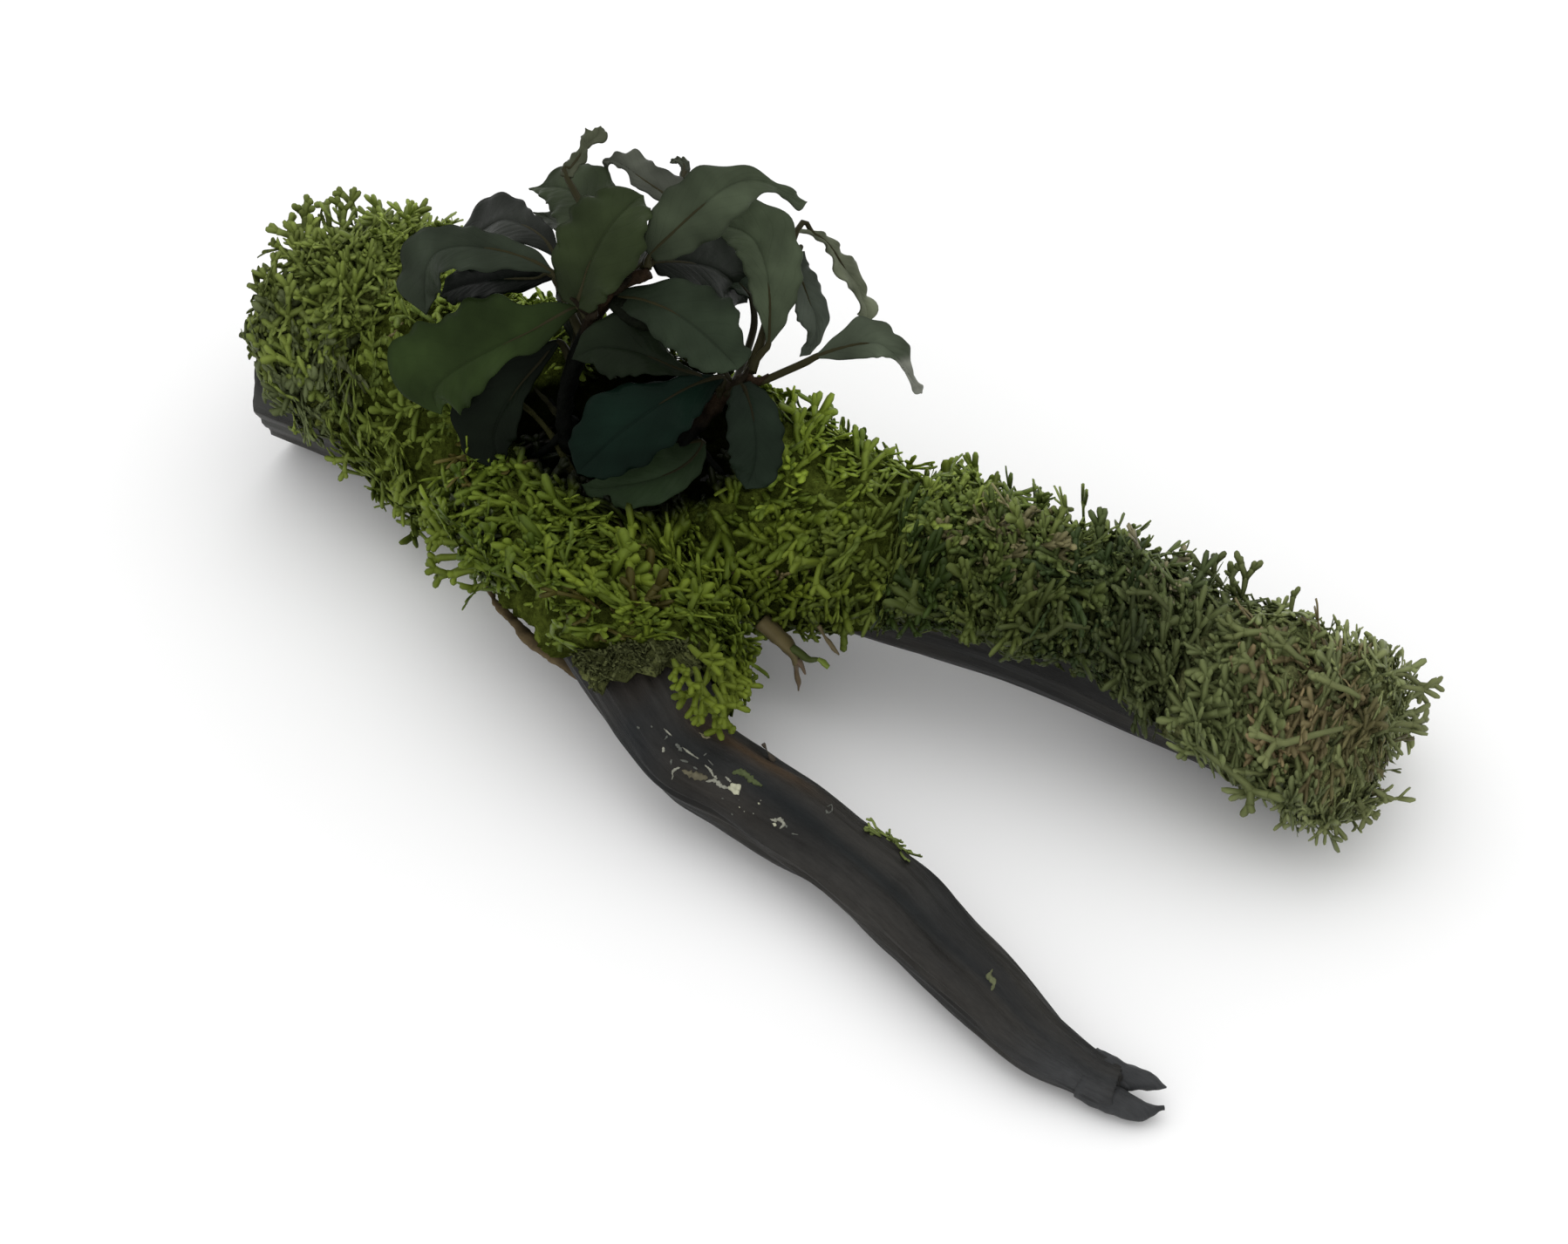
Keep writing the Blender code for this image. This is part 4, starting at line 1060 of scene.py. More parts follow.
# the thallus that hangs from the fork, its green tip and the dead twig beside it: path, radii, tone
danglers = (
    (((16.5, -11, 21.5), (20.0, -11.2, 19.4), (23.6, -11.3, 16.6), (24.4, -11.3, 13.6)), (2.4, 2.2, 1.7, 1.2), srgb(104, 94, 64)),
    (((24.4, -11.2, 14.6), (24.5, -11.3, 11.4), (25.0, -11.4, 9.0), (25.1, -11.5, 6.6)), (1.3, 0.85, 0.65, 0.4), srgb(104, 90, 70)),
    (((24.6, -11.2, 15.0), (25.6, -11.3, 13.6), (26.5, -11.3, 11.6)), (1.0, 0.7, 0.25), srgb(108, 92, 74)),
    (((23.4, -11.2, 17.6), (27.0, -11.3, 16.3), (29.4, -11.3, 17.0)), (1.2, 0.8, 0.55), srgb(74, 84, 44)),
    (((29.2, -11.3, 17.1), (30.4, -11.3, 16.7), (31.6, -11.3, 16.0)), (0.6, 0.95, 0.6), srgb(116, 132, 60)),
    (((29.0, -10.6, 25.6), (31.3, -11.2, 22.9), (33.8, -11.3, 20.4)), (0.6, 0.5, 0.35), srgb(92, 82, 60)),
)


def makeLoose():
    rnd = np.random.default_rng(71)
    shells = []
    stops = [row[0] for row in mossTones]
    places = (limbPlaces(bough, 7.5), limbPlaces(branch, 6.0))
    for basePixel, tipPixel, width, forks, nearer in strandReadings:
        base = onMats(places, basePixel, nearer)
        tip = onMats(places, tipPixel, nearer, base)
        tone = np.array([np.interp(base[0], stops, [row[2][c] for row in mossTones]) for c in range(3)])
        shells.append(loneStrand(rnd, base, tip, width, forks, tone * rnd.uniform(0.62, 0.86)))
    points, faces, colors = joined(shells)
    newPiece("moss_lone_strands", points, faces, strandMaterial, colors)
    # the scrap on the branch: short strands that lie along its upper edge
    shells = []
    for _ in range(26):
        s, angle = rnd.uniform(8.2, 8.68), math.radians(rnd.uniform(118, 160))
        centre, along, out, radius = barkAt(branch, np.array([s]), np.array([angle]), barkSeeds["driftwood_branch"])
        base = (centre + radius[:, None] * out)[0]
        side = np.cross(along, out)[0]
        way = rnd.choice((-1, 1)) * along[0] * rnd.uniform(0.6, 1.2) + side * rnd.uniform(-0.5, 0.5) + out[0] * rnd.uniform(0.1, 0.45)
        tone = srgb(104, 116, 62) * rnd.uniform(0.7, 1.2)
        shells.append(loneStrand(rnd, base + 0.2 * out[0], base + unit(way) * rnd.uniform(2.0, 3.6), rnd.uniform(0.7, 1.1), 1, tone, tuple(out[0])))
    points, faces, colors = joined(shells)
    newPiece("moss_scrap_strands", points, faces, strandMaterial, colors, None, ("moss_scrap",))
    points, faces, colors = joined([sweep(path, radii, tone, sides=8, flat=0.55, steps=6, wobble=0.12, seed=3) for path, radii, tone in danglers])
    newPiece("moss_strand_thallus", points, faces, strandMaterial, colors, None, ("moss_strand",))
    print("loose strands")


makeLoose()
# ---- plant
stemRadius = 1.7
stalkFoot = 2.6  # from the stem's axis to the foot of a leaf's solid
stems = {
    "a": ((-28, -3.0, 38.5), (-29, -6.0, 45.0), (-30, -3.0, 56.0), (-27, 4.0, 71.0), (-23, 7.0, 77.0), (-18, 9.0, 80.5)),
    "b": ((-8, -4.5, 38.5), (-7, -4.0, 45.0), (-5, 1.0, 52.0), (-1, 7.0, 58.0), (3, 11.0, 62.0)),
}
# each leaf as the part's source gives its solid: stem, place along it, middle and tip of the midrib, roll, hook of
# the tip, stalk's share of the length (and width where the photo hides it); turn moves its face towards the
# viewpoint; way holds pixels of the photo that its stalk passes, rows pixels of the midrib and of both edges
leaves = {
    "leaf_01": dict(
        stem="a", place=0.57, middle=(-47, -7, 65), tip=(-57, -14, 50), roll=-42, hook=0, stalk=0.08,
        turn=0, tone=(37, 49, 23), frill=0.8, way=(),
        rows=(
            (662, 352, 661, 349, 663, 356), (640, 362, 640, 343, 645, 373), (610, 380, 612, 339, 622, 401),
            (585, 391, 580, 332, 598, 407), (558, 404, 548, 339, 583, 424), (532, 418, 522, 358, 568, 442),
            (510, 433, 480, 371, 549, 455), (498, 448, 453, 410, 532, 463), (499, 462, 480, 455, 518, 471),
            (506, 475, 506, 475, 506, 475),
        ),
    ),
    "leaf_02": dict(
        stem="a", place=0.61, middle=(-52, 3, 78), tip=(-67, 2, 63), roll=-25, hook=1, stalk=0.12,
        turn=0.25, tone=(45, 52, 41), frill=0.5, way=(),
        rows=(
            (633, 312, 632, 309, 633, 315), (612, 300, 618, 290, 615, 315), (585, 290, 596, 278, 590, 315),
            (555, 284, 560, 266, 562, 316), (527, 282, 530, 259, 545, 309), (503, 288, 500, 262, 524, 307),
            (491, 302, 474, 273, 515, 318), (487, 320, 467, 302, 505, 325), (488, 338, 458, 328, 500, 340),
            (489, 361, 489, 361, 489, 361),
        ),
    ),
    "leaf_03": dict(
        stem="a", place=0.66, middle=(-49, 19, 72), tip=(-69, 27, 60), roll=-22, hook=0, stalk=0.16,
        turn=0.35, tone=(38, 41, 36), frill=0.3, way=(),
        rows=(
            (640, 296, 641, 293, 640, 299), (622, 272, 632, 262, 616, 290), (600, 258, 610, 244, 596, 290),
            (577, 252, 580, 228, 576, 290), (557, 262, 556, 236, 560, 295), (540, 275, 538, 254, 545, 298),
            (525, 292, 525, 292, 525, 292),
        ),
    ),
    "leaf_04": dict(
        stem="a", place=0.52, middle=(-47, 8, 63), tip=(-66, 12, 54), roll=-25, hook=0, stalk=0.16,
        turn=0.3, tone=(6, 11, 6), frill=0.5, way=(),
        rows=(
            (634, 318, 634, 316, 634, 321), (605, 320, 605, 306, 607, 334), (570, 320, 572, 300, 575, 342),
            (540, 325, 542, 302, 545, 345), (518, 332, 522, 314, 522, 345), (505, 340, 505, 340, 505, 340),
        ),
    ),
    "leaf_05": dict(
        stem="a", place=0.46, middle=(-40, -7, 56), tip=(-41, -14.5, 42.5), roll=-45, hook=0, stalk=0.18,
        turn=0, tone=(14, 20, 12), frill=0.3, way=(),
        rows=(
            (640, 392, 637, 390, 643, 394), (615, 420, 585, 405, 622, 425), (590, 450, 545, 430, 606, 454),
            (573, 480, 515, 464, 600, 480), (566, 505, 526, 490, 589, 505), (571, 527, 549, 517, 581, 524),
            (575, 545, 575, 545, 575, 545),
        ),
    ),
    "leaf_06": dict(
        stem="a", place=0.63, middle=(-28, 8, 86), tip=(-24, 21, 89), roll=2, hook=0, stalk=0.06,
        turn=0, tone=(44, 53, 31), frill=0.9, way=(),
        rows=(
            (662, 352, 645, 350, 680, 352), (667, 332, 634, 331, 698, 330), (672, 312, 634, 305, 713, 314),
            (680, 293, 638, 282, 726, 304), (690, 274, 644, 262, 744, 284), (702, 256, 653, 244, 752, 264),
            (716, 241, 674, 232, 757, 246), (727, 231, 697, 222, 755, 236), (738, 225, 738, 225, 738, 225),
        ),
    ),
    "leaf_07": dict(
        stem="a", place=0.72, middle=(-41, 23, 79), tip=(-57, 29, 73), roll=-25, hook=0, stalk=0.14,
        turn=0, tone=(52, 60, 43), frill=0.6, way=(),
        rows=(
            (690, 280, 684, 280, 696, 280), (684, 258, 660, 266, 704, 252), (676, 240, 640, 258, 708, 222),
            (664, 225, 628, 243, 697, 197), (648, 216, 622, 235, 668, 190), (632, 214, 616, 228, 643, 192),
            (619, 215, 611, 222, 625, 211), (607, 217, 607, 217, 607, 217),
        ),
    ),
    "leaf_08": dict(
        stem="a", place=0.5, middle=(-44, 24, 64), tip=(-60, 38, 54), roll=-20, hook=0, stalk=0.16,
        turn=0.8, tone=(34, 40, 27), frill=0.5, way=(),
        rows=(
            (665, 300, 655, 300, 680, 290), (658, 280, 650, 278, 680, 262), (645, 260, 636, 264, 655, 245),
            (630, 250, 622, 256, 630, 241), (612, 244, 612, 244, 612, 244),
        ),
    ),
    "leaf_09": dict(
        stem="a", place=0.84, middle=(-45, 23, 84), tip=(-44, 36, 88), roll=-10, hook=0, stalk=0.5,
        turn=0, tone=(80, 84, 66), frill=0.7, way=(),
        rows=(
            (650, 203, 643, 200, 657, 205), (655, 192, 647, 190, 660, 198), (664, 180, 658, 176, 672, 184),
            (669, 168, 665, 167, 673, 171), (676, 162, 667, 156, 680, 170), (684, 156, 680, 142, 690, 166),
            (687, 150, 684, 141, 692, 158), (689, 145, 689, 145, 689, 145),
        ),
    ),
    "leaf_10": dict(
        stem="a", place=0.92, middle=(-22, 26, 85), tip=(-41, 33, 83), roll=-10, hook=0, stalk=0.4,
        turn=0, tone=(72, 75, 66), frill=0.9, way=(),
        rows=(
            (792, 246, 790, 248, 794, 243), (776, 232, 772, 237, 786, 220), (757, 219, 750, 229, 772, 196),
            (738, 206, 728, 215, 755, 194), (723, 195, 716, 196, 742, 182), (710, 187, 708, 191, 724, 175),
            (700, 184, 702, 189, 708, 178), (695, 187, 697, 192, 693, 181), (697, 200, 697, 200, 697, 200),
        ),
    ),
    "leaf_11": dict(
        stem="a", place=0.95, middle=(-19, 33, 78), tip=(-27, 43, 80), roll=5, hook=0, stalk=0.3,
        turn=3, tone=(66, 70, 58), frill=0.7, way=(),
        rows=(
            (782, 205, 778, 205, 790, 205), (784, 195, 781, 195, 791, 195), (784, 187, 780, 190, 789, 184),
            (778, 183, 778, 187, 778, 180), (772, 184, 774, 187, 771, 182), (769, 187, 769, 187, 769, 187),
        ),
    ),
    "leaf_12": dict(
        stem="a", place=0.98, middle=(-9, 29, 91), tip=(-1, 41, 81), roll=32, hook=0, stalk=0.14,
        turn=0, tone=(60, 68, 52), frill=0.9, way=(),
        rows=(
            (745, 293, 738, 284, 753, 300), (762, 276, 741, 258, 782, 294), (782, 257, 750, 234, 806, 280),
            (802, 239, 775, 211, 832, 266), (822, 222, 798, 194, 850, 246), (843, 210, 838, 187, 860, 238),
            (863, 206, 862, 194, 872, 227), (884, 211, 882, 205, 885, 222), (902, 222, 904, 215, 900, 226),
            (914, 231, 915, 224, 907, 239), (925, 232, 925, 232, 925, 232),
        ),
    ),
    "leaf_13": dict(
        stem="a", place=0.82, middle=(-18, 27, 70), tip=(-16, 42, 60), roll=20, hook=0, stalk=0.2,
        turn=1.5, tone=(28, 33, 26), frill=0.6, way=((722, 318), (735, 305)),
        rows=(
            (748, 302, 746, 290, 750, 316), (770, 300, 765, 277, 774, 326), (795, 302, 797, 270, 789, 336),
            (818, 308, 828, 272, 803, 344), (836, 320, 854, 290, 818, 350), (848, 334, 862, 316, 836, 352),
            (856, 347, 856, 347, 856, 347),
        ),
    ),
    "leaf_14": dict(
        stem="a", place=0.72, middle=(-8, 5, 76), tip=(5, 4, 71), roll=30, hook=0, stalk=0.08,
        turn=0, tone=(42, 51, 38), frill=0.9, way=(),
        rows=(
            (706, 341, 706, 334, 708, 350), (728, 342, 730, 328, 727, 362), (752, 349, 752, 319, 743, 374),
            (774, 359, 775, 313, 754, 390), (793, 372, 801, 321, 773, 404), (810, 386, 829, 337, 787, 414),
            (824, 399, 838, 364, 799, 425), (836, 411, 847, 387, 819, 430), (843, 419, 858, 402, 834, 430),
            (846, 424, 846, 424, 846, 424),
        ),
    ),
    "leaf_15": dict(
        stem="b", place=0.78, middle=(-14, 2, 69), tip=(-27, -4, 67), roll=-35, hook=0, stalk=0.12,
        turn=0, tone=(24, 31, 20), frill=0.7, way=(),
        rows=(
            (800, 430, 800, 427, 800, 432), (780, 424, 778, 416, 780, 432), (760, 416, 763, 402, 760, 433),
            (738, 406, 752, 380, 738, 434), (716, 400, 728, 368, 715, 434), (697, 398, 702, 362, 697, 433),
            (680, 400, 682, 376, 682, 424), (668, 406, 668, 392, 670, 418), (656, 412, 656, 412, 656, 412),
        ),
    ),
    "leaf_16": dict(
        stem="b", place=0.9, middle=(1, 25, 75), tip=(-8, 36, 81), roll=8, hook=0, stalk=0.14,
        turn=0, tone=(67, 76, 58), frill=0.5, way=((857, 427), (867, 413), (874, 404)),
        rows=(
            (881, 395, 879, 394, 883, 392), (882, 378, 876, 372, 896, 380), (883, 358, 868, 356, 906, 357),
            (882, 335, 860, 334, 917, 331), (879, 312, 855, 313, 920, 305), (873, 291, 848, 297, 917, 280),
            (864, 275, 841, 287, 908, 256), (851, 265, 833, 281, 890, 241), (836, 260, 825, 275, 862, 234),
            (823, 259, 818, 268, 835, 243), (811, 263, 811, 263, 811, 263),
        ),
    ),
    "leaf_17": dict(
        stem="b", place=0.7, middle=(-9, -5, 59), tip=(-21, -16, 50), roll=-38, hook=0, stalk=0.06,
        turn=0, tone=(12, 26, 19), frill=0.7, way=(),
        rows=(
            (829, 433, 829, 430, 829, 437), (808, 437, 808, 429, 820, 455), (786, 446, 782, 432, 809, 472),
            (765, 458, 757, 435, 797, 488), (745, 471, 732, 434, 782, 502), (726, 485, 708, 439, 763, 515),
            (708, 499, 686, 453, 742, 530), (692, 513, 673, 477, 722, 538), (679, 526, 655, 500, 702, 546),
            (669, 536, 653, 523, 682, 546), (662, 543, 662, 543, 662, 543),
        ),
    ),
    "leaf_18": dict(
        stem="b", place=0.42, middle=(-10, -8, 48), tip=(-20, -13, 43), roll=-30, hook=0, stalk=0.1,
        turn=0, tone=(40, 53, 34), frill=0.6, way=(),
        rows=(
            (806, 508, 803, 503, 810, 510), (795, 525, 782, 503, 817, 524), (778, 538, 760, 512, 816, 542),
            (757, 547, 740, 522, 802, 562), (735, 553, 720, 532, 775, 575), (712, 557, 702, 540, 742, 580),
            (692, 560, 686, 545, 708, 576), (678, 560, 674, 550, 685, 571), (667, 556, 667, 556, 667, 556),
        ),
    ),
    "leaf_19": dict(
        stem="b", place=0.74, middle=(7, 4, 59), tip=(10, -2, 48), roll=0, hook=0, stalk=0.1,
        turn=0, tone=(28, 37, 28), frill=0.4, way=(),
        rows=(
            (850, 441, 838, 441, 862, 442), (857, 455, 830, 452, 878, 453), (862, 470, 832, 468, 889, 470),
            (865, 488, 833, 488, 896, 488), (867, 506, 834, 506, 899, 506), (867, 524, 836, 524, 897, 525),
            (864, 540, 836, 541, 891, 541), (859, 552, 842, 553, 878, 554), (855, 561, 855, 561, 855, 561),
        ),
    ),
    "leaf_20": dict(
        stem="b", place=0.86, middle=(19, 21, 68), tip=(29, 29, 60), roll=42, hook=3, stalk=0.36,
        turn=0, tone=(75, 83, 68), frill=0.7, way=((872, 438), (905, 424), (925, 415)),
        rows=(
            (938, 408, 938, 405, 940, 411), (955, 402, 952, 391, 960, 412), (973, 397, 970, 376, 980, 412),
            (991, 394, 990, 363, 1000, 410), (1007, 394, 1014, 370, 1015, 413),
            (1018, 400, 1024, 381, 1024, 418), (1029, 410, 1038, 391, 1034, 422),
            (1040, 425, 1041, 416, 1040, 430), (1049, 440, 1051, 435, 1045, 443),
            (1054, 447, 1060, 446, 1048, 450), (1057, 451, 1057, 451, 1057, 451),
        ),
    ),
    "leaf_21": dict(
        stem="b", place=0.98, middle=(-1, 45, 72), tip=(10, 49, 51), roll=30, hook=0, stalk=0.45,
        turn=0.7, tone=(98, 103, 84), frill=1, way=(),
        rows=(
            (914, 265, 914, 267, 914, 263), (930, 267, 930, 269, 931, 264), (945, 274, 942, 279, 949, 271),
            (955, 286, 950, 290, 962, 282), (963, 300, 952, 306, 972, 298), (974, 314, 963, 321, 987, 307),
            (984, 328, 976, 329, 990, 326), (989, 342, 982, 344, 996, 345),
            (994, 356, 984, 362, 1006, 355), (992, 372, 992, 372, 992, 372),
        ),
    ),
    "leaf_22": dict(
        stem="b", place=0.94, middle=(-1, 43, 62), tip=(3, 34, 47), roll=35, hook=0, stalk=0.3,
        turn=1.2, tone=(76, 83, 73), frill=0.4, way=(),
        rows=(
            (915, 290, 912, 290, 922, 287), (916, 308, 908, 310, 926, 305), (921, 326, 908, 330, 937, 326),
            (928, 344, 907, 350, 947, 344), (935, 362, 914, 366, 951, 362), (936, 379, 924, 377, 946, 380),
            (932, 393, 926, 388, 938, 395), (924, 402, 918, 400, 930, 405), (917, 409, 917, 409, 917, 409),
        ),
    ),
    "leaf_23": dict(
        stem="a", place=0.4, middle=(-42, 20, 58), tip=(-56, 36, 52), roll=-15, hook=0, stalk=0.2,
        turn=0, tone=(26, 32, 20), frill=0.6, width=7.2, way=(), rows=(),
    ),
    "leaf_24": dict(
        stem="a", place=0.55, middle=(-31, 30, 66), tip=(-38, 45, 54), roll=0, hook=0, stalk=0.2,
        turn=0, tone=(32, 38, 28), frill=0.6, width=7.5, way=(), rows=(),
    ),
    "leaf_25": dict(
        stem="b", place=0.82, middle=(-8, 32, 60), tip=(-19, 44, 47), roll=10, hook=0, stalk=0.25,
        turn=1, tone=(42, 50, 40), frill=0.6, way=((850, 422), (859, 396), (865, 370)),
        rows=(
            (862, 342, 860, 343, 864, 341), (853, 330, 843, 342, 868, 322), (843, 320, 829, 334, 860, 308),
            (832, 311, 820, 322, 846, 300), (820, 303, 820, 303, 820, 303),
        ),
    ),
    "leaf_26": dict(
        stem="b", place=0.82, middle=(-9, 15, 65), tip=(-16, 24, 65), roll=-15, hook=0, stalk=0.2,
        turn=0, tone=(22, 28, 20), frill=0.6, width=9, way=(), rows=(),
    ),
}
driedTips = {"leaf_20": (0.6, srgb(132, 134, 124))}  # share of the length where it starts, tone


def solidMidrib(leaf):
    # the midrib of the leaf's solid as a function of the share of its length: a parabola from the stem through
    # the leaf's middle to its tip, which a hooked leaf bends down; with its foot and its face's direction
    stem = stems[leaf["stem"]]
    middle, tip = np.array(leaf["middle"], float), np.array(leaf["tip"], float)
    at = leaf["place"] * (len(stem) - 1)
    along = unit(smoothCurve(stem, at + 0.05) - smoothCurve(stem, at - 0.05))
    away = middle - smoothCurve(stem, at)
    foot = smoothCurve(stem, at) + stalkFoot * unit(away - (away @ along) * along)
    line = unit(tip - foot)
    level = unit(np.array((0.0, 0.0, 1.0)) - line[2] * line)
    roll = math.radians(leaf["roll"])
    face = math.cos(roll) * level + math.sin(roll) * np.cross(line, level)
    first = np.linalg.norm(middle - foot)
    share = first / (first + np.linalg.norm(tip - middle))
    bend = (middle - (1 - share) ** 2 * foot - share**2 * tip) / (2 * share * (1 - share))

    def midrib(u):
        u = u[:, None]
        droop = leaf["hook"] * np.clip((u - 0.6) / 0.4, 0, None) ** 2
        return (1 - u) ** 2 * foot + 2 * u * (1 - u) * bend + u**2 * tip - droop * level

    return midrib, foot, face


def bladeRows(leaf):
    # rows from the blade's foot to its tip: midrib point, width to the left and to the right; with the direction
    # that the upper side faces and the points that the stalk passes
    midrib, foot, face = solidMidrib(leaf)
    if not leaf["rows"]:
        blade = np.linspace(0, 1, 7)
        half = 0.3 + (leaf["width"] / 2 - 0.3) * np.sin(math.pi * blade**0.85) ** 0.8
        half[-1] = 0.0
        return np.column_stack((midrib(leaf["stalk"] + (1 - leaf["stalk"]) * blade), half, half)), face, []
    read = np.array(leaf["rows"], float)
    pixels = read[:, :2]
    fine = 200
    solid = toPhoto(midrib(np.linspace(0.6 * leaf["stalk"], 1, fine)))
    # depth: half way between the nearest place on the solid's midrib, only moving on, and an even spread
    nearest, last = [], 0
    for pixel in pixels:
        last += np.argmin(np.linalg.norm(solid[last:, :2] - pixel, axis=1))
        nearest.append(last)
    steps = np.linalg.norm(np.diff(pixels, axis=0), axis=1)
    even = np.concatenate(([0], np.cumsum(steps))) / steps.sum() * (fine - 1)
    depth = np.interp((np.array(nearest) + even) / 2, np.arange(fine), solid[:, 2])
    depth = np.convolve(np.pad(depth, 1, mode="edge"), (0.25, 0.5, 0.25), "valid")
    points = fromPhoto(pixels, depth)
    way = fromPhoto(leaf["way"], np.linspace(toPhoto(foot)[2], depth[0], len(leaf["way"]) + 2)[1:-1]) if leaf["way"] else []
    face = unit(face - leaf["turn"] * photoDepth)
    forward = unit(np.gradient(points, axis=0))
    side = np.cross(forward, unit(face - (forward @ face)[:, None] * forward))
    # how far a millimetre sideways and one forwards go in the photo, and so how far each edge is off the midrib
    sideStep = 2 * (toPhoto(points + 0.5 * side)[:, :2] - pixels)
    forwardStep = 2 * (toPhoto(points + 0.5 * forward)[:, :2] - pixels)
    edges = [crossed(read[:, k:k + 2] - pixels, forwardStep) / crossed(sideStep, forwardStep) for k in (2, 4)]
    left, right = sorted(edges, key=np.mean)
    return np.column_stack((points, -left, right)), face, list(way)


def crossed(a, b):
    return a[:, 0] * b[:, 1] - a[:, 1] * b[:, 0]


def leafShape(name, leaf):
    # (share of the length, place across) to the blade: a curve through the midrib's rows, widths that follow
    # theirs, a shallow cup, slow waves and a finer frill that grow towards the edges, a furrow over the midrib
    table, face, way = bladeRows(leaf)
    seed, place, frill = int(name[-2:]), leaf["place"], leaf["frill"]
    stem = stems[leaf["stem"]]
    axis = smoothCurve(stem, place * (len(stem) - 1))
    count, cols = 64, 25
    s = np.linspace(0, len(table) - 1, count)
    line = smoothCurve(table, s)
    mid = line[:, :3]
    forward = unit(np.gradient(mid, axis=0))
    normal = unit(face - (forward @ face)[:, None] * forward)
    sideways = np.cross(forward, normal)
    blade = (s / s[-1])[:, None]
    t = np.linspace(-1, 1, cols)
    v = t * (0.6 + 0.4 * t**2)
    half = np.where(v < 0, line[:, 3:4], line[:, 4:5])
    rightSide = 1.9 * (v > 0)
    ragged = np.sin(2 * math.pi * (8 * blade + 0.3 * np.sin(9 * blade + seed)) + 3 * rightSide + seed)
    half = np.maximum(half * (1 + 0.05 * ragged), 0.12)
    width = np.maximum(line[:, 3:4] + line[:, 4:5], 0.2) / 2
    ends = np.clip(np.minimum(blade, 1 - blade) * 5, 0, 1)
    slow = np.sin(2 * math.pi * 1.7 * blade + 7.0 * place + rightSide)
    quick = np.sin(2 * math.pi * (5.5 * blade + 0.25 * np.sin(7 * blade + 2 * seed)) + 2.3 * rightSide + seed)
    lift = 0.1 * half * np.abs(v) + ends * (0.09 * width * v**2 * slow + 0.7 * frill * np.abs(v) ** 3 * quick)
    lift = lift - 0.3 * ends * np.exp(-((v * half / 0.6) ** 2))
    lift = lift + ends * 0.06 * np.sin(2 * math.pi * (14 * blade - 3 * np.abs(v))) * np.abs(v) * (1 - np.abs(v)) * 4
    grid = mid[:, None, :] + (v * half)[..., None] * sideways[:, None, :] + lift[..., None] * normal[:, None, :]
    uv = np.stack(np.broadcast_arrays(blade, 0.5 + 0.5 * v), -1)
    color = srgb(*leaf["tone"]) * np.exp(0.13 * lumps(grid, 14.0, seed) + 0.04 * lumps(grid, 4.0, seed + 1))[..., None]
    # painted shade and light: the blade is darker towards its foot, as the shade near the stem, and its slow waves are
    # painted lighter and darker towards the edges
    color = color * (0.66 + 0.38 * np.clip(blade / 0.4, 0, 1) + 0.1 * slow * np.abs(v))[..., None]
    color = color * np.broadcast_to(1 - 0.2 * np.abs(v) ** 14, half.shape)[..., None]
    if name in driedTips:
        start, tone = driedTips[name]
        dry = np.clip((blade + 0.08 * lumps(grid, 6.0, 2) - start) / 0.12, 0, 1)[..., None]
        color = color + (tone - color) * dry
    out = unit(way[0] - axis if way else mid[0] - axis)
    stalk = [axis + 0.6 * stemRadius * out, *way, *(mid[k] - 0.25 * normal[k] for k in (0, 9, 20, 34))]
    radii = [1.0] + [0.75] * len(way) + [0.62, 0.48, 0.34, 0.15]
    # painted shade: the stalks of leaves whose foot lies below 66 mm are half as bright, in the shade under the crowns
    rib = sweep(stalk, radii, srgb(44, 42, 26) * (0.5 + 0.5 * float(mid[0, 2] > 66)), sides=8, steps=4)
    return grid, uv, color, rib


def leafMaterial():
    material, tree, shader = newMaterial("leaf_blade", 0.36, 0.035)
    color, where, noise = tinted(tree, 220.0, 0.93, 1.07)
    uv = addNode(tree, "UVMap").outputs["UV"]
    parts = addNode(tree, "SeparateXYZ", Vector=uv)
    off = addNode(tree, "Math", {"operation": "SUBTRACT"}, i0=parts.outputs["Y"], i1=0.5).outputs["Value"]
    off = addNode(tree, "Math", {"operation": "ABSOLUTE"}, i0=off).outputs["Value"]
    rib = addNode(tree, "MapRange", Value=off, From_Min=0.004, From_Max=0.03, To_Min=1.0, To_Max=0.0).outputs["Result"]
    slant = addNode(tree, "Math", {"operation": "MULTIPLY_ADD"}, i0=off, i1=-0.6, i2=parts.outputs["X"]).outputs["Value"]
    vein = addNode(tree, "Math", {"operation": "MULTIPLY"}, i0=slant, i1=62.0).outputs["Value"]
    vein = addNode(tree, "Math", {"operation": "SINE"}, i0=vein).outputs["Value"]
    vein = addNode(tree, "MapRange", Value=vein, From_Min=0.8, From_Max=1.0).outputs["Result"]
    veins = addNode(tree, "Math", {"operation": "MULTIPLY_ADD"}, i0=vein, i1=0.2, i2=rib).outputs["Value"]
    shade = addNode(tree, "MapRange", Value=veins, To_Min=1.0, To_Max=0.82).outputs["Result"]
    color = addNode(tree, "VectorMath", {"operation": "SCALE"}, i0=color, Scale=shade).outputs["Vector"]
    tree.links.new(color, shader.inputs["Base Color"])
    fine = addNode(tree, "TexNoise", Vector=where, Scale=900.0, Detail=3.0).outputs["Fac"]
    height = addNode(tree, "Math", {"operation": "MULTIPLY_ADD"}, i0=fine, i1=0.25, i2=noise).outputs["Value"]
    height = addNode(tree, "Math", {"operation": "SUBTRACT"}, i0=height, i1=veins).outputs["Value"]
    bump(tree, shader, height, 0.3, 0.0004)
    return material


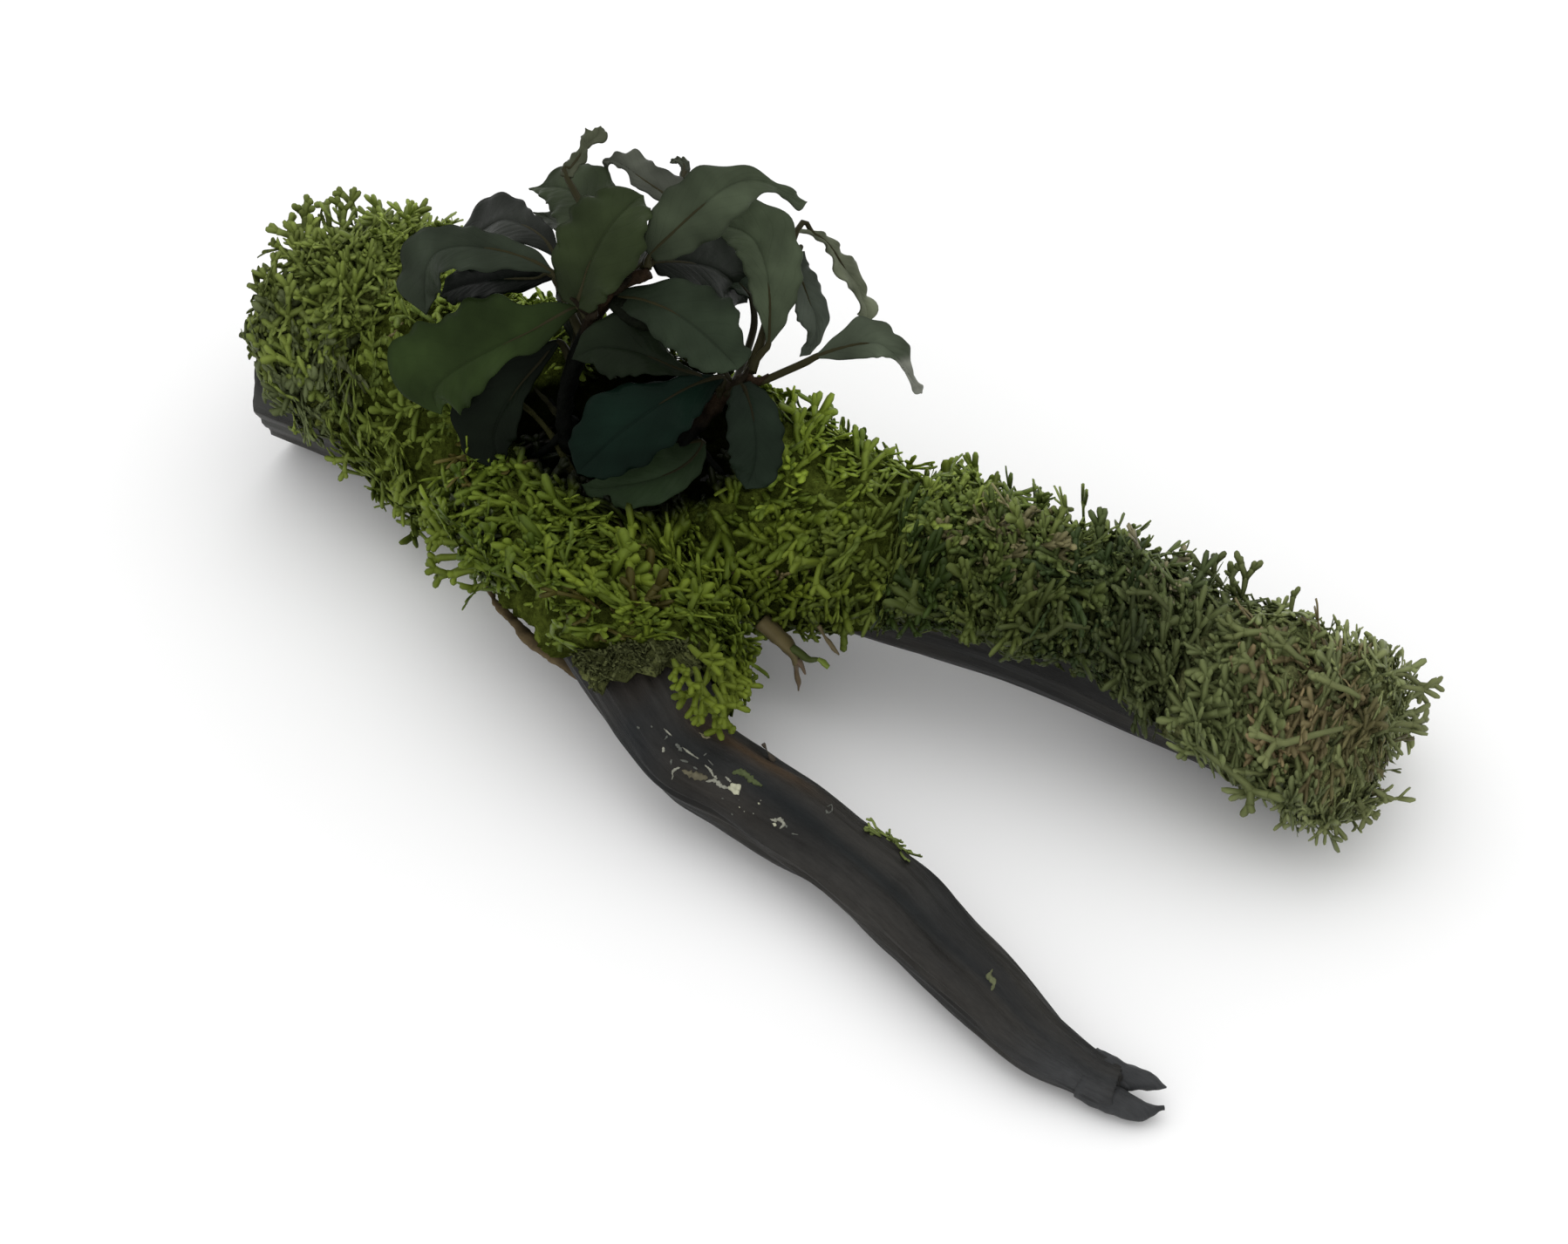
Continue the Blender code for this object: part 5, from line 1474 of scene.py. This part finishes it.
def makeLeaves():
    material = leafMaterial()
    for name, leaf in leaves.items():
        grid, uv, tone, rib = leafShape(name, leaf)
        rows, cols = grid.shape[:2]
        normal = unit(np.cross(np.gradient(grid, axis=0), np.gradient(grid, axis=1)))
        thin = (0.26 * (1 - 0.6 * np.linspace(-1, 1, cols) ** 8))[None, :, None]
        coats = np.vstack(((grid + thin * normal).reshape(-1, 3), (grid - thin * normal).reshape(-1, 3)))
        color, flat = tone.reshape(-1, 3), uv.reshape(-1, 2)
        blade = (coats, closedSheet(rows, cols), np.vstack((color, color * 0.9)))
        points, faces, colors = joined([blade, rib])
        coords = np.vstack((flat, flat, np.full((len(rib[0]), 2), 0.25)))
        newPiece(name + "_blade", points, faces, material, colors, coords, (name,))


makeLeaves()
print("leaves")

# crowns, roots and old stalks: path, radii, tone
# darkWithShade is near-black: dark roots and stems with the shade of the hollow painted in
reddish, rust, darkWithShade = srgb(25, 21, 14), srgb(36, 27, 18), srgb(4, 5, 3)
sprigs = {
    "crown_a1": (((-27, 4, 71.5), (-25, 4, 75), (-22.5, 4, 78.5)), (1.5, 1.2, 0.4), rust),
    "crown_a2": (((-26, 5, 73), (-23, 5.5, 77), (-20.5, 7, 80)), (1.3, 1.0, 0.3), reddish),
    "crown_a3": (((-25, 6, 75), (-23, 6, 79), (-22, 7.5, 82.5)), (1.0, 0.7, 0.2), rust),
    "crown_a4": (((-27, 3.5, 71), (-29, 1.8, 73.5), (-30.5, 0.8, 75.5)), (1.3, 0.9, 0.3), reddish),
    "crown_a5": (((-28, 3, 69.5), (-26, 1.5, 72.5), (-24.5, 1, 75)), (1.1, 0.8, 0.2), srgb(36, 30, 22)),
    # a young leaf in the crown, its near-black tone painted shade
    "young_leaf": (((-23.5, 4.5, 75.0), (-20.5, 4.8, 73.4), (-17.0, 5.4, 71.8), (-13.5, 6.4, 70.4)), (1.4, 2.6, 2.6, 0.6), srgb(13, 16, 9)),
    "crown_b1": (((0, 8, 59.0), (1.5, 9.2, 61.5), (2.5, 10.5, 64)), (1.5, 1.0, 0.3), reddish),
    "crown_b2": (((1, 9, 59.8), (4, 10.2, 61.2), (6, 12, 62.8)), (1.4, 0.9, 0.3), rust),
    "crown_b3": (((0, 8, 59.2), (-2, 8, 61.5), (-3.2, 8.4, 63.5)), (1.3, 0.8, 0.3), reddish),
    "crown_b4": (((0.5, 8, 58.5), (2.0, 7.2, 60.0), (3.5, 7.0, 61.5)), (1.1, 0.7, 0.2), srgb(34, 30, 20)),
    "stalk_1": (((-41, -4, 49), (-34, -5.5, 46), (-26, -8.5, 39)), (0.5, 0.6, 0.7), srgb(38, 38, 18)),
    "stalk_2": (((-39, -1, 51), (-33, -2.5, 47), (-27, -6.0, 40)), (0.4, 0.45, 0.5), srgb(26, 26, 14)),
    "stalk_3": (((-37, 1, 47), (-30, -3, 44), (-24, -7, 39)), (0.5, 0.5, 0.6), darkWithShade),
    "root_1": (((-28, -4, 50), (-31, -7, 45), (-35, -9, 41)), (0.9, 0.8, 0.5), darkWithShade),
    "root_2": (((-26, -1, 53), (-21, -4, 46), (-17, -6, 41)), (1.0, 0.9, 0.5), darkWithShade),
    "root_3": (((-6, -1, 50), (-10, -4, 46), (-15, -6, 42)), (1.0, 0.8, 0.5), darkWithShade),
    "root_4": (((-5, 1, 52), (-1, 0, 48), (2, 1, 44)), (0.9, 0.7, 0.5), darkWithShade),
}


def makeStems():
    material, tree, shader = newMaterial("reddish_stem", 0.6, 0.03)
    color, where, noise = tinted(tree, 500.0, 0.55, 1.45)
    tree.links.new(color, shader.inputs["Base Color"])
    bump(tree, shader, noise, 0.8, 0.0008)
    for name, key, crown in (("rhizome_a", "a", 70.0), ("rhizome_b", "b", 56.0)):
        points, faces, _ = sweep(stems[key], (1.5, 1.6, 1.7, 1.6, 1.1), darkWithShade, sides=14, steps=8, wobble=0.25, seed=5)
        # painted shade: each stem is near-black below its crown and turns reddish-brown at the crown, above the shade
        lit = np.clip((points[:, 2:] - crown + 3) / 6, 0, 1)
        newPiece(name + "_skin", points, faces, material, darkWithShade + (rust - darkWithShade) * lit, None, (name,))
    points, faces, colors = joined([sweep(path, radii, tone, sides=9, steps=5, wobble=0.12, seed=7) for path, radii, tone in sprigs.values()])
    newPiece("crown_and_roots", points, faces, material, colors)


makeStems()
print("stems")
